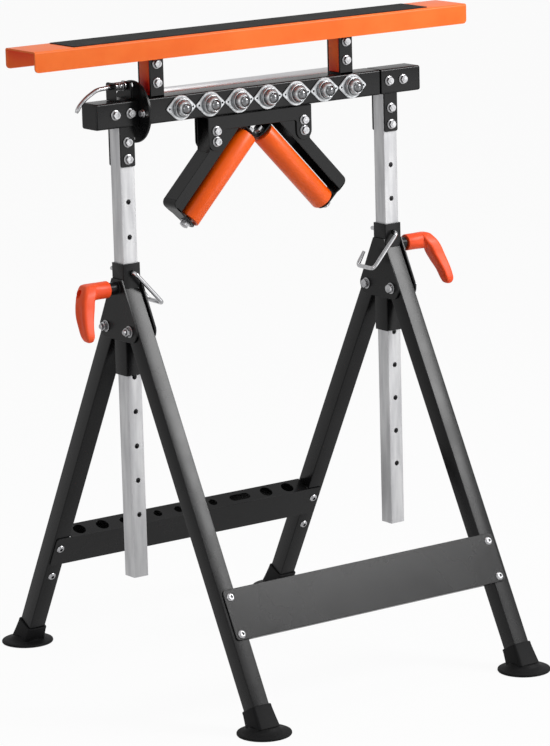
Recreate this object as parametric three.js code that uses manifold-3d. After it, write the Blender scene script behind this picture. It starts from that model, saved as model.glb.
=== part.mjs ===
// A folding four-way roller stand: two A-frames with sliding masts carry a head that turns about a long line
// and offers a flat channel, a row of ball transfers, a long steel roller or a pair of vee rollers.
// Millimetres, +Z up. X runs along the head, -Y is the ball-transfer side, the floor is Z = 0.
// The origin is under the centre of the whole part's box.
import * as THREE from "three";
import { mergeVertices } from "three/addons/utils/BufferGeometryUtils.js";
import Module from "manifold-3d";

const wasm = await Module();
wasm.setup();

// Driving dimensions
const SHIFT_X = 18; // from the middle between the masts to the middle of the part's box
const MAST_X = 241; // each mast's distance from the middle
const MAST_HALF = 12.5;
const MAST_WALL = 1.6;
const MAST_BOTTOM = 171.5;
const MAST_TOP = 844;
const HOLE_PITCH = 52;
const HOLE_RADIUS = 4;
const HOLE_COUNT = 10;
const PIN_Z = 630.5; // the mast hole that the lock pin stands in
const SLEEVE_HALF = 15;
const SLEEVE_BORE = 13;
const SLEEVE_BOTTOM = 477.5;
const SLEEVE_TOP = 644;
const GUSSET = 3;
const GUSSET_TOP = 621;
const CLAMP_Z = 608;
const PIVOT_Y = 30.7;
const PIVOT_Z = 547.4;
const LEG_ANGLE = THREE.MathUtils.degToRad(27.5);
const LEG_HALF = 14;
const LEG_WALL = 1.8;
const LEG_END = 598;
const BOOT_TOP = 577;
const FOOT_Y = 315;
const FOOT_RADIUS = 40;
const GAP = 0.3; // between pieces that are bolted or rest on each other
const AXIS_Z = 863.5; // line that the head turns about
const BLOCK_HALF = 19;
const BLOCK_IN = 221.5;
const BLOCK_OUT = 296;
const BEAM_LEFT = -213;
const BEAM_RIGHT = 218.5;
const STUB_RADIUS = 8;
const STUB_END = 245;
const STRAP_BOTTOM = 786;
const DISC_RADIUS = 45.7;
const DISC_FACE = -221;
const DISC_BACK = -217;
const INDEX_RADIUS = 39;
const BALL_COUNT = 7;
const BALL_PITCH = 52.2;
const BALL_MIDDLE = 8.3;
const BALL_RADIUS = 7.9;
const BALL_Y = -31.5;
const CHANNEL_LEFT = -408;
const CHANNEL_RIGHT = 372;
const CHANNEL_HALF = 39;
const CHANNEL_BOTTOM = 941;
const CHANNEL_TOP = 970.9;
const CHANNEL_WALL = 2.5;
const POST_X = [-186, 158];
const POST_HALF = 12.5;
const ROLLER_RADIUS = 22.5;
const ROLLER_Y = 43.5;
const ROLLER_ENDS = [-184, 188];
const AXLE_RADIUS = 5;
const AXLE_BORE = 5.095; // running fit on the axle
const VEE_X = -5;
const VEE_TILT = THREE.MathUtils.degToRad(46.5); // each vee roller's slope below level
const VEE_START_X = 14.6;
const VEE_START_Z = 809;
const VEE_RADIUS = 17.5;
const VEE_LENGTH = 158;
const ROUND = 24; // sides of a running fit
const NUT_END = 274.5; // outer face of the weld nut that the clamp screw turns in
const NUT_RADIUS = 9;
const HUB_ENDS = [275, 312]; // the clamp lever's hub
const HUB_RADIUS = 12.6;
const SCREW_END = 300;

// Materials, by their look on the stand
function paint(color, roughness, metalness) {
  return new THREE.MeshStandardMaterial({ color, roughness, metalness });
}
const BLACK_PAINT = paint(0x2b2b2c, 0.55, 0.0);
const ZINC = paint(0xc9cacb, 0.32, 1.0);
const STEEL = paint(0xd7d8d9, 0.22, 1.0);
const ORANGE_PAINT = paint(0xf4742d, 0.45, 0.0);
const ORANGE_PLASTIC = paint(0xee5f14, 0.4, 0.0);
const LEVER_PLASTIC = paint(0xf4521f, 0.42, 0.0);
const RUBBER = paint(0x1c1c1d, 0.8, 0.0);
const GRIP_TAPE = paint(0x161616, 0.95, 0.0);

// A closed solid from a three.js geometry, with its faces turned outwards.
function solid(geometry, matrix) {
  const flat = geometry.index ? geometry.toNonIndexed() : geometry;
  const bare = new THREE.BufferGeometry();
  bare.setAttribute("position", flat.getAttribute("position").clone());
  if (matrix) bare.applyMatrix4(matrix);
  const merged = mergeVertices(bare, 1e-4);
  const points = merged.attributes.position.array;
  const triangles = new Uint32Array(merged.index.array);
  if (signedVolume(points, triangles) < 0) turnOver(triangles);
  return new wasm.Manifold(new wasm.Mesh({ numProp: 3, vertProperties: points, triVerts: triangles }));
}

function signedVolume(points, triangles) {
  const corner = [new THREE.Vector3(), new THREE.Vector3(), new THREE.Vector3()];
  let sum = 0;
  for (let i = 0; i < triangles.length; i += 3) {
    for (let k = 0; k < 3; k++) corner[k].fromArray(points, 3 * triangles[i + k]);
    sum += corner[0].dot(corner[1].cross(corner[2]));
  }
  return sum / 6;
}

function turnOver(triangles) {
  for (let i = 0; i < triangles.length; i += 3) {
    const held = triangles[i + 1];
    triangles[i + 1] = triangles[i + 2];
    triangles[i + 2] = held;
  }
}

function geometryOf(body) {
  const mesh = body.getMesh();
  const geometry = new THREE.BufferGeometry();
  const points = new Float32Array(mesh.vertProperties);
  geometry.setAttribute("position", new THREE.BufferAttribute(points, 3));
  geometry.setIndex(new THREE.BufferAttribute(new Uint32Array(mesh.triVerts), 1));
  geometry.computeVertexNormals();
  return geometry;
}

function add(parent, name, body, material) {
  const mesh = new THREE.Mesh(geometryOf(body), material);
  mesh.name = name;
  parent.add(mesh);
  return mesh;
}

function group(parent, x = 0, y = 0, z = 0) {
  const made = new THREE.Group();
  made.position.set(x, y, z);
  parent.add(made);
  return made;
}

function join(...bodies) {
  return bodies.reduce((whole, next) => whole.add(next));
}

function cut(body, ...tools) {
  return tools.reduce((left, tool) => left.subtract(tool), body);
}

// Box between two limits on each axis
function box(x0, x1, y0, y1, z0, z1, matrix) {
  const geometry = new THREE.BoxGeometry(x1 - x0, y1 - y0, z1 - z0);
  geometry.translate((x0 + x1) / 2, (y0 + y1) / 2, (z0 + z1) / 2);
  return solid(geometry, matrix);
}

// Round bar along an axis, from one end to the other, with a radius at each end
function bar(axis, from, to, r0, r1, u, v, sides = 16) {
  const geometry = new THREE.CylinderGeometry(r1, r0, to - from, sides);
  geometry.translate(0, (from + to) / 2, 0);
  if (axis === "x") geometry.rotateZ(-Math.PI / 2).translate(0, u, v);
  if (axis === "y") geometry.translate(u, 0, v);
  if (axis === "z") geometry.rotateX(Math.PI / 2).translate(u, v, 0);
  return solid(geometry);
}

function pin(axis, from, to, radius, u, v, sides = 16) {
  return bar(axis, from, to, radius, radius, u, v, sides);
}

// Solid of revolution about the X line through y, z, from [x, radius] points
function turned(profile, y, z, sides = ROUND) {
  const points = profile.map(([x, r]) => new THREE.Vector2(r, x));
  const geometry = new THREE.LatheGeometry(points, sides);
  geometry.rotateZ(-Math.PI / 2).translate(0, y, z);
  return solid(geometry);
}

const FACE_X = new THREE.Matrix4().makeBasis(
  new THREE.Vector3(0, 1, 0), new THREE.Vector3(0, 0, 1), new THREE.Vector3(1, 0, 0));
const FACE_Y = new THREE.Matrix4().makeBasis(
  new THREE.Vector3(1, 0, 0), new THREE.Vector3(0, 0, 1), new THREE.Vector3(0, -1, 0));

// Plate cut from a YZ outline, between two X values
function plateX(shape, x0, x1) {
  const geometry = new THREE.ExtrudeGeometry(shape, { depth: x1 - x0, bevelEnabled: false, curveSegments: 4 });
  return solid(geometry, FACE_X.clone().setPosition(x0, 0, 0));
}

// Plate cut from an XZ outline, between two Y values
function plateY(shape, y0, y1) {
  const geometry = new THREE.ExtrudeGeometry(shape, { depth: y1 - y0, bevelEnabled: false, curveSegments: 6 });
  return solid(geometry, FACE_Y.clone().setPosition(0, y1, 0));
}

function outline(points) {
  return new THREE.Shape(points.map(([u, v]) => new THREE.Vector2(u, v)));
}

// Round wire along a path of straight runs with eased corners
function wire(points, radius, ease, steps, sides = 6) {
  const p = points.map((q) => new THREE.Vector3(...q));
  const path = new THREE.CurvePath();
  let start = p[0];
  for (let i = 1; i < p.length - 1; i++) {
    const before = p[i].clone().add(p[i - 1].clone().sub(p[i]).setLength(ease));
    const after = p[i].clone().add(p[i + 1].clone().sub(p[i]).setLength(ease));
    path.add(new THREE.LineCurve3(start, before));
    path.add(new THREE.QuadraticBezierCurve3(before, p[i], after));
    start = after;
  }
  path.add(new THREE.LineCurve3(start, p[p.length - 1]));
  const section = outline(ring(radius, sides));
  return solid(new THREE.ExtrudeGeometry(section, { steps, bevelEnabled: false, extrudePath: path }));
}

// Skin over rings of points that have equal counts, with flat ends
function skin(rings) {
  const around = rings[0].length;
  const index = [];
  for (let i = 0; i < rings.length - 1; i++) {
    for (let k = 0; k < around; k++) {
      const a = i * around + k;
      const b = i * around + ((k + 1) % around);
      index.push(a, b, a + around, b, b + around, a + around);
    }
  }
  const end = (rings.length - 1) * around;
  for (let k = 1; k < around - 1; k++) {
    index.push(0, k + 1, k, end, end + k, end + k + 1);
  }
  const geometry = new THREE.BufferGeometry();
  const points = rings.flat().flatMap((at) => at.toArray());
  geometry.setAttribute("position", new THREE.Float32BufferAttribute(points, 3));
  geometry.setIndex(index);
  return solid(geometry);
}

function ring(radius, sides) {
  return Array.from({ length: sides }, (_, i) => {
    const turn = (2 * Math.PI * i) / sides;
    return [radius * Math.cos(turn), radius * Math.sin(turn)];
  });
}

const stand = new THREE.Group();
const frame = group(stand, SHIFT_X);
// In a side group +x points outwards from the middle, on either side.
const sides = { left: group(frame), right: group(frame) };
sides.left.scale.x = -1;

// Mast sleeve with its two leg gussets and the clamp's weld nut
function gussetOutline() {
  const shape = new THREE.Shape();
  const lobe = 17.5;
  const side = Math.atan2(PIVOT_Y - 13.5, GUSSET_TOP - PIVOT_Z);
  shape.moveTo(-13.5, GUSSET_TOP);
  shape.absarc(-PIVOT_Y, PIVOT_Z, lobe, Math.PI - side, 1.5 * Math.PI, false);
  shape.absarc(PIVOT_Y, PIVOT_Z, lobe, 1.5 * Math.PI, 2 * Math.PI + side, false);
  shape.lineTo(13.5, GUSSET_TOP);
  return shape;
}

function sleeveBody() {
  const tube = box(
    MAST_X - SLEEVE_HALF, MAST_X + SLEEVE_HALF, -SLEEVE_HALF, SLEEVE_HALF, SLEEVE_BOTTOM, SLEEVE_TOP);
  const outer = plateX(gussetOutline(), MAST_X + SLEEVE_HALF - 0.1, MAST_X + SLEEVE_HALF + GUSSET);
  const inner = plateX(gussetOutline(), MAST_X - SLEEVE_HALF - GUSSET, MAST_X - SLEEVE_HALF + 0.1);
  const nut = pin("x", MAST_X + SLEEVE_HALF + GUSSET - 0.1, NUT_END, NUT_RADIUS, 0, CLAMP_Z, 12);
  const bore = box(
    MAST_X - SLEEVE_BORE, MAST_X + SLEEVE_BORE, -SLEEVE_BORE, SLEEVE_BORE, SLEEVE_BOTTOM - 1, SLEEVE_TOP + 1);
  const pinHole = pin("y", -20, 20, 3.9, MAST_X, PIN_Z, 10);
  const clampHole = pin("x", MAST_X, MAST_X + 40, 5.4, 0, CLAMP_Z, 12);
  const pivots = [-PIVOT_Y, PIVOT_Y].map((y) => pin("x", MAST_X - 30, MAST_X + 30, 4.4, y, PIVOT_Z, 10));
  return cut(join(tube, outer, inner, nut), bore, pinHole, clampHole, ...pivots);
}

// Leg pivot bolt with its head, washers and nut
function pivotBolt(y) {
  const outside = MAST_X + SLEEVE_HALF + GUSSET + GAP;
  const inside = MAST_X - SLEEVE_HALF - GUSSET - GAP;
  return join(
    pin("x", inside - 4, outside + 9, 4, y, PIVOT_Z, 12),
    pin("x", outside, outside + 1.6, 8.5, y, PIVOT_Z, 12),
    pin("x", outside + 1.5, outside + 7, 6.6, y, PIVOT_Z, 6),
    pin("x", inside - 7, inside, 7.2, y, PIVOT_Z, 6));
}

// Leg about its pivot: it runs down local -z, and its top is mitred to butt against the sleeve
function legBody() {
  const tube = box(-LEG_HALF, LEG_HALF, -LEG_HALF, LEG_HALF, -LEG_END, 90);
  const hollow = LEG_HALF - LEG_WALL;
  const bore = box(-hollow, hollow, -hollow, hollow, -LEG_END - 1, 91);
  const stop = PIVOT_Y - SLEEVE_HALF - GAP;
  const mitre = box(-50, 50, stop, 300, -300, 300, new THREE.Matrix4().makeRotationX(LEG_ANGLE));
  return cut(tube, bore, mitre, pin("x", -20, 20, 4.5, 0, 0, 10));
}

// Foot boot on its disc, about the leg's pivot but level with the floor
function footBody() {
  const lean = new THREE.Matrix4().makeRotationX(-LEG_ANGLE);
  const half = LEG_HALF + 2.8;
  const boot = box(-half, half, -half, half, -640, -BOOT_TOP, lean);
  const below = box(-90, 90, -500, 0, -PIVOT_Z - 90, -PIVOT_Z + 2);
  const profile = [[0, 0], [0, FOOT_RADIUS], [3.5, FOOT_RADIUS], [5, FOOT_RADIUS - 1.5], [9, 25], [9, 0]];
  const points = profile.map(([z, r]) => new THREE.Vector2(r, z));
  const disc = new THREE.LatheGeometry(points, 24).rotateX(Math.PI / 2);
  disc.translate(0, PIVOT_Y - FOOT_Y, -PIVOT_Z);
  const room = LEG_HALF + GAP;
  const socket = box(-room, room, -room, room, -LEG_END - GAP, -500, lean);
  return cut(join(cut(boot, below), solid(disc)), socket);
}

// Front spreader panel, in the leg pair's frame
function panelBody() {
  const face = -LEG_HALF - GAP;
  const half = 249;
  const top = -404;
  const bottom = -480;
  const r = 6;
  const shape = outline([
    [-half + r, bottom], [half - r, bottom], [half, bottom + r], [half, top - r],
    [half - r, top], [-half + r, top], [-half, top - r], [-half, bottom + r]]);
  const lip = MAST_X - LEG_HALF - 4;
  return join(
    plateY(shape, face - 2, face),
    box(-lip, lip, face - 1, face + 10, top - 2, top),
    box(-lip, lip, face - 1, face + 10, bottom, bottom + 2));
}

// Tool tray between the rear legs, in the rear leg pair's frame, where x runs the other way
const TRAY_TOP = -397;
const TRAY_HOLES = [
  [-203, 10.5], [-160.5, 10.5], [-57, 7.2], [-18, 7.2], [9, 7.2], [48, 7.2], [151.5, 10.5], [193, 10.5]];
const TRAY_SLOTS = [-109, 100];

function trayBody() {
  const face = LEG_HALF + GAP;
  const back = face + 2 - 30;
  const inside = MAST_X - LEG_HALF - 1.5;
  const bottom = TRAY_TOP - 52.5;
  const middle = face + 2 - 14.8;
  const channel = join(
    box(-252, 252, face, face + 2, bottom, TRAY_TOP),
    box(-inside, inside, back, face + 1, TRAY_TOP - 2, TRAY_TOP),
    box(-inside, inside, back, back + 2, TRAY_TOP - 24, TRAY_TOP - 1),
    box(-inside, inside, face - 7, face + 1, bottom, bottom + 2));
  const round = TRAY_HOLES.map(([x, r]) => pin("z", TRAY_TOP - 5, TRAY_TOP + 5, r, -x, middle, 12));
  const slots = TRAY_SLOTS.flatMap((x) => [
    box(-x - 12, -x + 12, middle - 7, middle + 7, TRAY_TOP - 5, TRAY_TOP + 5),
    pin("z", TRAY_TOP - 5, TRAY_TOP + 5, 7, -x - 12, middle, 12),
    pin("z", TRAY_TOP - 5, TRAY_TOP + 5, 7, -x + 12, middle, 12)]);
  return cut(channel, ...round, ...slots);
}

// Square mast with its row of holes, front to back
function mastBody() {
  const hollow = MAST_HALF - MAST_WALL;
  const tube = box(MAST_X - MAST_HALF, MAST_X + MAST_HALF, -MAST_HALF, MAST_HALF, MAST_BOTTOM, MAST_TOP);
  const bore = box(MAST_X - hollow, MAST_X + hollow, -hollow, hollow, MAST_BOTTOM - 1, MAST_TOP + 1);
  const lowest = PIN_Z - 7 * HOLE_PITCH;
  const holes = Array.from({ length: HOLE_COUNT }, (_, i) =>
    pin("y", -20, 20, HOLE_RADIUS, MAST_X, lowest + i * HOLE_PITCH, 8));
  return cut(tube, bore, ...holes);
}

// End block: bearing wall at the inner end, hollow behind it, with the strap that holds the mast's top
function endBlockBody() {
  const low = AXIS_Z - BLOCK_HALF;
  const shell = box(BLOCK_IN, BLOCK_OUT, -BLOCK_HALF, BLOCK_HALF, low, AXIS_Z + BLOCK_HALF);
  const wall = BLOCK_HALF - 3;
  const hollow = box(BLOCK_IN + 20, BLOCK_OUT - 3, -wall, wall, AXIS_Z - wall, AXIS_Z + wall);
  const bearing = pin("x", BLOCK_IN - 5, BLOCK_IN + 25, STUB_RADIUS + 0.09, 0, AXIS_Z, ROUND);
  const bolt = pin("y", -30, 30, 3.4, 262.5, AXIS_Z, 12);
  const near = MAST_HALF + 0.4;
  const straps = [[-near - 3, -near], [near, near + 3]].map(([y0, y1]) =>
    box(MAST_X - MAST_HALF, MAST_X + MAST_HALF, y0, y1, STRAP_BOTTOM, low + 0.5));
  return cut(join(shell, ...straps), hollow, bearing, bolt);
}

// Clamp lever: a round hub along x, and from its outer end a flat grip that hangs down, forward and outwards.
// Each level section of the grip: its middle x, y, z, half width along x, half depth along y, broken corner.
const GRIP = [
  [308.5, -1.2, 619.6, 7.6, 8.6, 3],
  [310.9, -2.4, 616, 9.6, 11, 4],
  [315.1, -6.3, 608, 11.2, 12.8, 4.5],
  [320.3, -10.2, 598, 10.4, 12.6, 4.5],
  [323.2, -13, 588, 10.2, 13, 4.5],
  [327, -18, 576, 9.3, 12.6, 4.5],
  [330.2, -25, 563, 8.1, 11, 4],
  [331.5, -30.9, 550, 6.8, 9.6, 3],
  [331.3, -32.4, 543.5, 4.6, 6.2, 2]];

function gripRing([x, y, z, a, b, c]) {
  const corners = [
    [a, b - c], [a - c, b], [c - a, b], [-a, b - c], [-a, c - b], [c - a, -b], [a - c, -b], [a, c - b]];
  return corners.map(([u, v]) => new THREE.Vector3(x + u, y + v, z));
}

function leverBody() {
  const hub = pin("x", ...HUB_ENDS, HUB_RADIUS, 0, CLAMP_Z);
  const bore = pin("x", HUB_ENDS[0] - 1, SCREW_END + GAP, AXLE_RADIUS + GAP, 0, CLAMP_Z, 12);
  return cut(join(hub, skin(GRIP.map(gripRing))), bore);
}

function ball(at, radius, detail = 1) {
  const place = new THREE.Matrix4().setPosition(...at);
  return solid(new THREE.IcosahedronGeometry(radius, detail), place);
}

// Bent-wire lock pin. Its shank passes through the mast; the run inside the mast is left clear.
function lockPinBody() {
  return wire([
    [MAST_X, -MAST_HALF - 0.4, PIN_Z], [MAST_X, -24.5, PIN_Z], [195, -24.5, 580.5],
    [194, 15, 581], [207, 15, 601]], 3.3, 7, 32);
}

function clampScrewBody() {
  return pin("x", MAST_X + MAST_HALF + 0.4, SCREW_END, AXLE_RADIUS, 0, CLAMP_Z, 12);
}

for (const [side, place] of Object.entries(sides)) {
  add(place, `sleeve_${side}`, sleeveBody(), BLACK_PAINT);
  add(place, `pivot_bolt_front_${side}`, pivotBolt(-PIVOT_Y), ZINC);
  add(place, `pivot_bolt_rear_${side}`, pivotBolt(PIVOT_Y), ZINC);
  add(place, `mast_${side}`, mastBody(), ZINC);
  add(place, `end_block_${side}`, endBlockBody(), BLACK_PAINT);
  add(place, `clamp_lever_${side}`, leverBody(), LEVER_PLASTIC);
  add(place, `clamp_screw_${side}`, clampScrewBody(), ZINC);
  add(place, `lock_pin_${side}`, lockPinBody(), STEEL);
  add(place, `lock_pin_tip_${side}`, pin("y", MAST_HALF + 0.4, 40, 3.3, MAST_X, PIN_Z, 8), STEEL);
}

// Leg pairs: the front pair leans to -Y, and the rear pair is the same turned half round
for (const [pair, turn] of [["front", 0], ["rear", Math.PI]]) {
  const facing = group(frame);
  facing.rotation.z = turn;
  const lean = group(facing, 0, -PIVOT_Y, PIVOT_Z);
  lean.rotation.x = -LEG_ANGLE;
  for (const [side, sign] of [["left", -1], ["right", 1]]) {
    const x = turn ? -sign * MAST_X : sign * MAST_X;
    add(group(lean, x), `${pair}_leg_${side}`, legBody(), BLACK_PAINT);
    add(group(facing, x, -PIVOT_Y, PIVOT_Z), `${pair}_foot_${side}`, footBody(), RUBBER);
  }
  if (pair === "front") add(lean, "front_panel", panelBody(), BLACK_PAINT);
  else add(lean, "tool_tray", trayBody(), BLACK_PAINT);
}

// Index bracket, pin and spring on the left end block
const INDEX_Z = AXIS_Z + INDEX_RADIUS;
const EAR_LEFT = -257;
const EAR_RIGHT = -231;
const EAR = 2.5;
const BRACKET_BASE = AXIS_Z + BLOCK_HALF + GAP;

function indexBracketBody() {
  const half = 12.5;
  const top = INDEX_Z + 7;
  const body = join(
    box(EAR_LEFT, EAR_RIGHT + EAR, -half, half, BRACKET_BASE, BRACKET_BASE + EAR),
    box(EAR_LEFT, EAR_LEFT + EAR, -half, half, BRACKET_BASE, top),
    box(EAR_RIGHT, EAR_RIGHT + EAR, -half, half, BRACKET_BASE, top));
  return cut(body, pin("x", -270, -220, 4.4, 0, INDEX_Z));
}

function indexPinBody() {
  const shank = pin("x", -264, DISC_FACE - 0.4, 4, 0, INDEX_Z, 14);
  const collar = pin("x", -236, -233.4, 7, 0, INDEX_Z, 14);
  const handle = wire([
    [-260, 0, INDEX_Z], [-281, 0, INDEX_Z - 1.5], [-299, 0, INDEX_Z - 11], [-312, 0, INDEX_Z - 22],
    [-317, 0, INDEX_Z - 31]], 3.2, 5, 14);
  return join(shank, collar, handle);
}

// The index spring: one helical wire whose ends run straight for one wire's thickness
const SPRING = { from: -254.1, to: -236.4, radius: 5.8, wire: 0.65, curls: 6, steps: 8, sides: 5 };

function springLine() {
  const { from, to, radius, wire: thick, curls, steps } = SPRING;
  const count = curls * steps;
  const low = from + thick;
  const high = to - thick;
  const line = Array.from({ length: count + 1 }, (_, i) => {
    const turn = (2 * Math.PI * i) / steps;
    return new THREE.Vector3(
      low + ((high - low) * i) / count, radius * Math.cos(turn), INDEX_Z + radius * Math.sin(turn));
  });
  const lead = line[0].clone().add(line[0].clone().sub(line[1]).setX(0).setLength(2 * thick));
  const last = line[count].clone().add(line[count].clone().sub(line[count - 1]).setX(0).setLength(2 * thick));
  return [lead, ...line, last];
}

function springBody() {
  const line = springLine();
  return skin(line.map((at, i) => {
    const along = line[Math.min(i + 1, line.length - 1)].clone().sub(line[Math.max(i - 1, 0)]).normalize();
    const across = new THREE.Vector3(1, 0, 0).addScaledVector(along, -along.x).normalize();
    const third = along.clone().cross(across);
    return ring(SPRING.wire, SPRING.sides).map(([u, v]) =>
      at.clone().addScaledVector(across, u).addScaledVector(third, v));
  }));
}

// Least gap between turns, on points over half a turn apart
function springGap() {
  const line = springLine();
  let least = Infinity;
  for (let i = 0; i < line.length; i++) {
    for (let k = i + SPRING.steps / 2 + 1; k < line.length; k++) {
      least = Math.min(least, line[i].distanceTo(line[k]));
    }
  }
  return least - 2 * SPRING.wire;
}
console.log(`index spring: least gap to itself ${springGap().toFixed(2)} mm`);

add(frame, "index_bracket", indexBracketBody(), BLACK_PAINT);
add(frame, "index_pin", indexPinBody(), STEEL);
add(frame, "index_spring", springBody(), STEEL);

// Head beam: square tube with closed ends, stub axles and the two welded post brackets
const ballX = Array.from({ length: BALL_COUNT }, (_, i) => BALL_MIDDLE + (i - (BALL_COUNT - 1) / 2) * BALL_PITCH);

function beamBody() {
  const h = BLOCK_HALF;
  const w = h - 2.5;
  const top = AXIS_Z + h;
  const shell = box(BEAM_LEFT, BEAM_RIGHT, -h, h, AXIS_Z - h, top);
  const hollow = box(BEAM_LEFT + 4, BEAM_RIGHT - 4, -w, w, AXIS_Z - w, AXIS_Z + w);
  const seats = ballX.map((x) => pin("y", -h - 2, -w + 2, 10.2, x, AXIS_Z, 12));
  const stubs = [
    pin("x", -STUB_END, BEAM_LEFT + 1, STUB_RADIUS, 0, AXIS_Z, ROUND),
    pin("x", BEAM_RIGHT - 1, STUB_END, STUB_RADIUS, 0, AXIS_Z, ROUND)];
  const near = POST_HALF + 0.4;
  const brackets = POST_X.flatMap((x) => [
    box(x - 12, x + 12, -near - 3, near + 3, top - 0.2, top + 3),
    box(x - 12, x + 12, -near - 3, -near, top, 946),
    box(x - 12, x + 12, near, near + 3, top, 946)]);
  return join(cut(shell, hollow, ...seats), ...stubs, ...brackets);
}

function discBody() {
  const plate = join(
    pin("x", DISC_FACE, DISC_BACK, DISC_RADIUS, 0, AXIS_Z, 32),
    pin("x", DISC_BACK - 0.5, BEAM_LEFT - GAP, 17, 0, AXIS_Z));
  const centre = pin("x", -240, -200, STUB_RADIUS + GAP, 0, AXIS_Z, 16);
  const stops = ring(INDEX_RADIUS, 4).map(([y, z]) => pin("x", -240, -200, 4.6, y, AXIS_Z + z, 8));
  const bolts = [-28, 28].map((y) => pin("x", -240, -200, 3.3, y, AXIS_Z, 8));
  return cut(plate, centre, ...stops, ...bolts);
}

// Ball transfer cup: diamond flange, stepped dome and the pocket that keeps its ball
function cupBody(x) {
  const face = -BLOCK_HALF - GAP;
  const shape = new THREE.Shape();
  const bulge = Math.acos((18.6 - 3) / 22.8);
  shape.absarc(22.8, 0, 3, -bulge, bulge, false);
  shape.absarc(0, 0, 18.6, bulge, Math.PI - bulge, false);
  shape.absarc(-22.8, 0, 3, Math.PI - bulge, Math.PI + bulge, false);
  shape.absarc(0, 0, 18.6, Math.PI + bulge, 2 * Math.PI - bulge, false);
  const flange = solid(
    new THREE.ExtrudeGeometry(shape, { depth: 2, bevelEnabled: false, curveSegments: 4 }),
    FACE_Y.clone().setPosition(x, face, AXIS_Z));
  const profile = [
    [-3.5, 0], [-3.5, 9.6], [1, 9.6], [1, 14.6], [7.5, 14.1], [10.6, 11.9], [15.8, 9.4], [15.8, 7.4],
    [14.6, 8], [13.4, 8.4], [3.8, 8.4], [3.8, 0]];
  const points = profile.map(([h, r]) => new THREE.Vector2(r, -h));
  const dome = new THREE.LatheGeometry(points, 12).translate(x, face, AXIS_Z);
  return join(flange, solid(dome));
}

function channelBody() {
  const inner = CHANNEL_HALF - CHANNEL_WALL;
  const top = CHANNEL_TOP - CHANNEL_WALL;
  const shell = box(CHANNEL_LEFT, CHANNEL_RIGHT, -CHANNEL_HALF, CHANNEL_HALF, CHANNEL_BOTTOM, CHANNEL_TOP);
  const hollow = box(CHANNEL_LEFT - 1, CHANNEL_RIGHT + 1, -inner, inner, CHANNEL_BOTTOM - 1, top);
  const foot = AXIS_Z + BLOCK_HALF + 3 + GAP;
  const posts = POST_X.map((x) => cut(
    box(x - POST_HALF, x + POST_HALF, -POST_HALF, POST_HALF, foot, top + 0.5),
    box(x - POST_HALF + 2, x + POST_HALF - 2, -POST_HALF + 2, POST_HALF - 2, foot - 1, top)));
  return join(cut(shell, hollow), ...posts);
}

// Hollow roller with plugged ends and a bore, from [x0, x1] along X
function rollerBody(x0, x1, radius, wall, plug, y, z) {
  const inside = radius - wall;
  return turned([
    [x0, AXLE_BORE], [x0, radius], [x1, radius], [x1, AXLE_BORE],
    [x1 - plug, AXLE_BORE], [x1 - plug, inside], [x0 + plug, inside], [x0 + plug, AXLE_BORE], [x0, AXLE_BORE]],
    y, z);
}

// Axle that stands out of its two supports, where its head and nut go
function axleBody(x0, x1, y, z) {
  return pin("x", x0 - 7, x1 + 8, AXLE_RADIUS, y, z, ROUND);
}

// Roller bracket: an ear for the axle and a foot on the beam's rear face, the foot turned outwards
function rollerBracketBody(x, outwards) {
  const rear = BLOCK_HALF + GAP;
  const shape = new THREE.Shape();
  shape.moveTo(rear, AXIS_Z - 14);
  shape.absarc(ROLLER_Y, AXIS_Z, 14, -Math.PI / 2, Math.PI / 2, false);
  shape.lineTo(rear, AXIS_Z + 14);
  const ear = plateX(shape, Math.min(x, x + 3 * outwards), Math.max(x, x + 3 * outwards));
  const foot = box(
    Math.min(x, x + 18 * outwards), Math.max(x, x + 18 * outwards), rear, rear + 3, AXIS_Z - 14, AXIS_Z + 14);
  return cut(join(ear, foot), pin("x", x - 10, x + 10, AXLE_RADIUS + GAP, ROLLER_Y, AXIS_Z));
}

add(frame, "head_beam", beamBody(), BLACK_PAINT);
add(frame, "index_disc", discBody(), BLACK_PAINT);
ballX.forEach((x, i) => {
  add(frame, `ball_cup_${i + 1}`, cupBody(x), ZINC);
  add(group(frame, x, BALL_Y, AXIS_Z), `ball_${i + 1}`, ball([0, 0, 0], BALL_RADIUS), STEEL);
});
add(frame, "top_channel", channelBody(), ORANGE_PAINT);
add(frame, "grip_strip", box(-338, 302, -32.5, 32.5, CHANNEL_TOP + GAP, CHANNEL_TOP + GAP + 1), GRIP_TAPE);
add(frame, "steel_roller", rollerBody(...ROLLER_ENDS, ROLLER_RADIUS, 2, 14, ROLLER_Y, AXIS_Z), STEEL);
const earLeft = ROLLER_ENDS[0] - 2;
const earRight = ROLLER_ENDS[1] + 2;
add(frame, "roller_bracket_left", rollerBracketBody(earLeft, -1), BLACK_PAINT);
add(frame, "roller_bracket_right", rollerBracketBody(earRight, 1), BLACK_PAINT);
add(frame, "roller_axle", axleBody(earLeft - 3, earRight + 3, ROLLER_Y, AXIS_Z), ZINC);

// Vee yoke under the beam: a web and two cheeks, each with a lobe at either end for the arm's bolts
const CHEEK_IN = 16.4;
const CHEEK_OUT = 18.4;

function yokeBody() {
  const top = AXIS_Z - BLOCK_HALF - GAP;
  const shape = new THREE.Shape();
  shape.moveTo(-94, top);
  shape.lineTo(-94, 806);
  shape.absarc(-80, 806, 14, Math.PI, 2 * Math.PI, false);
  shape.lineTo(-66, 823);
  shape.lineTo(66, 823);
  shape.absarc(80, 806, 14, Math.PI, 2 * Math.PI, false);
  shape.lineTo(94, top);
  return join(
    box(-94, 94, -CHEEK_OUT, CHEEK_OUT, top - 2, top),
    plateY(shape, CHEEK_IN, CHEEK_OUT),
    plateY(shape, -CHEEK_OUT, -CHEEK_IN));
}

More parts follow.
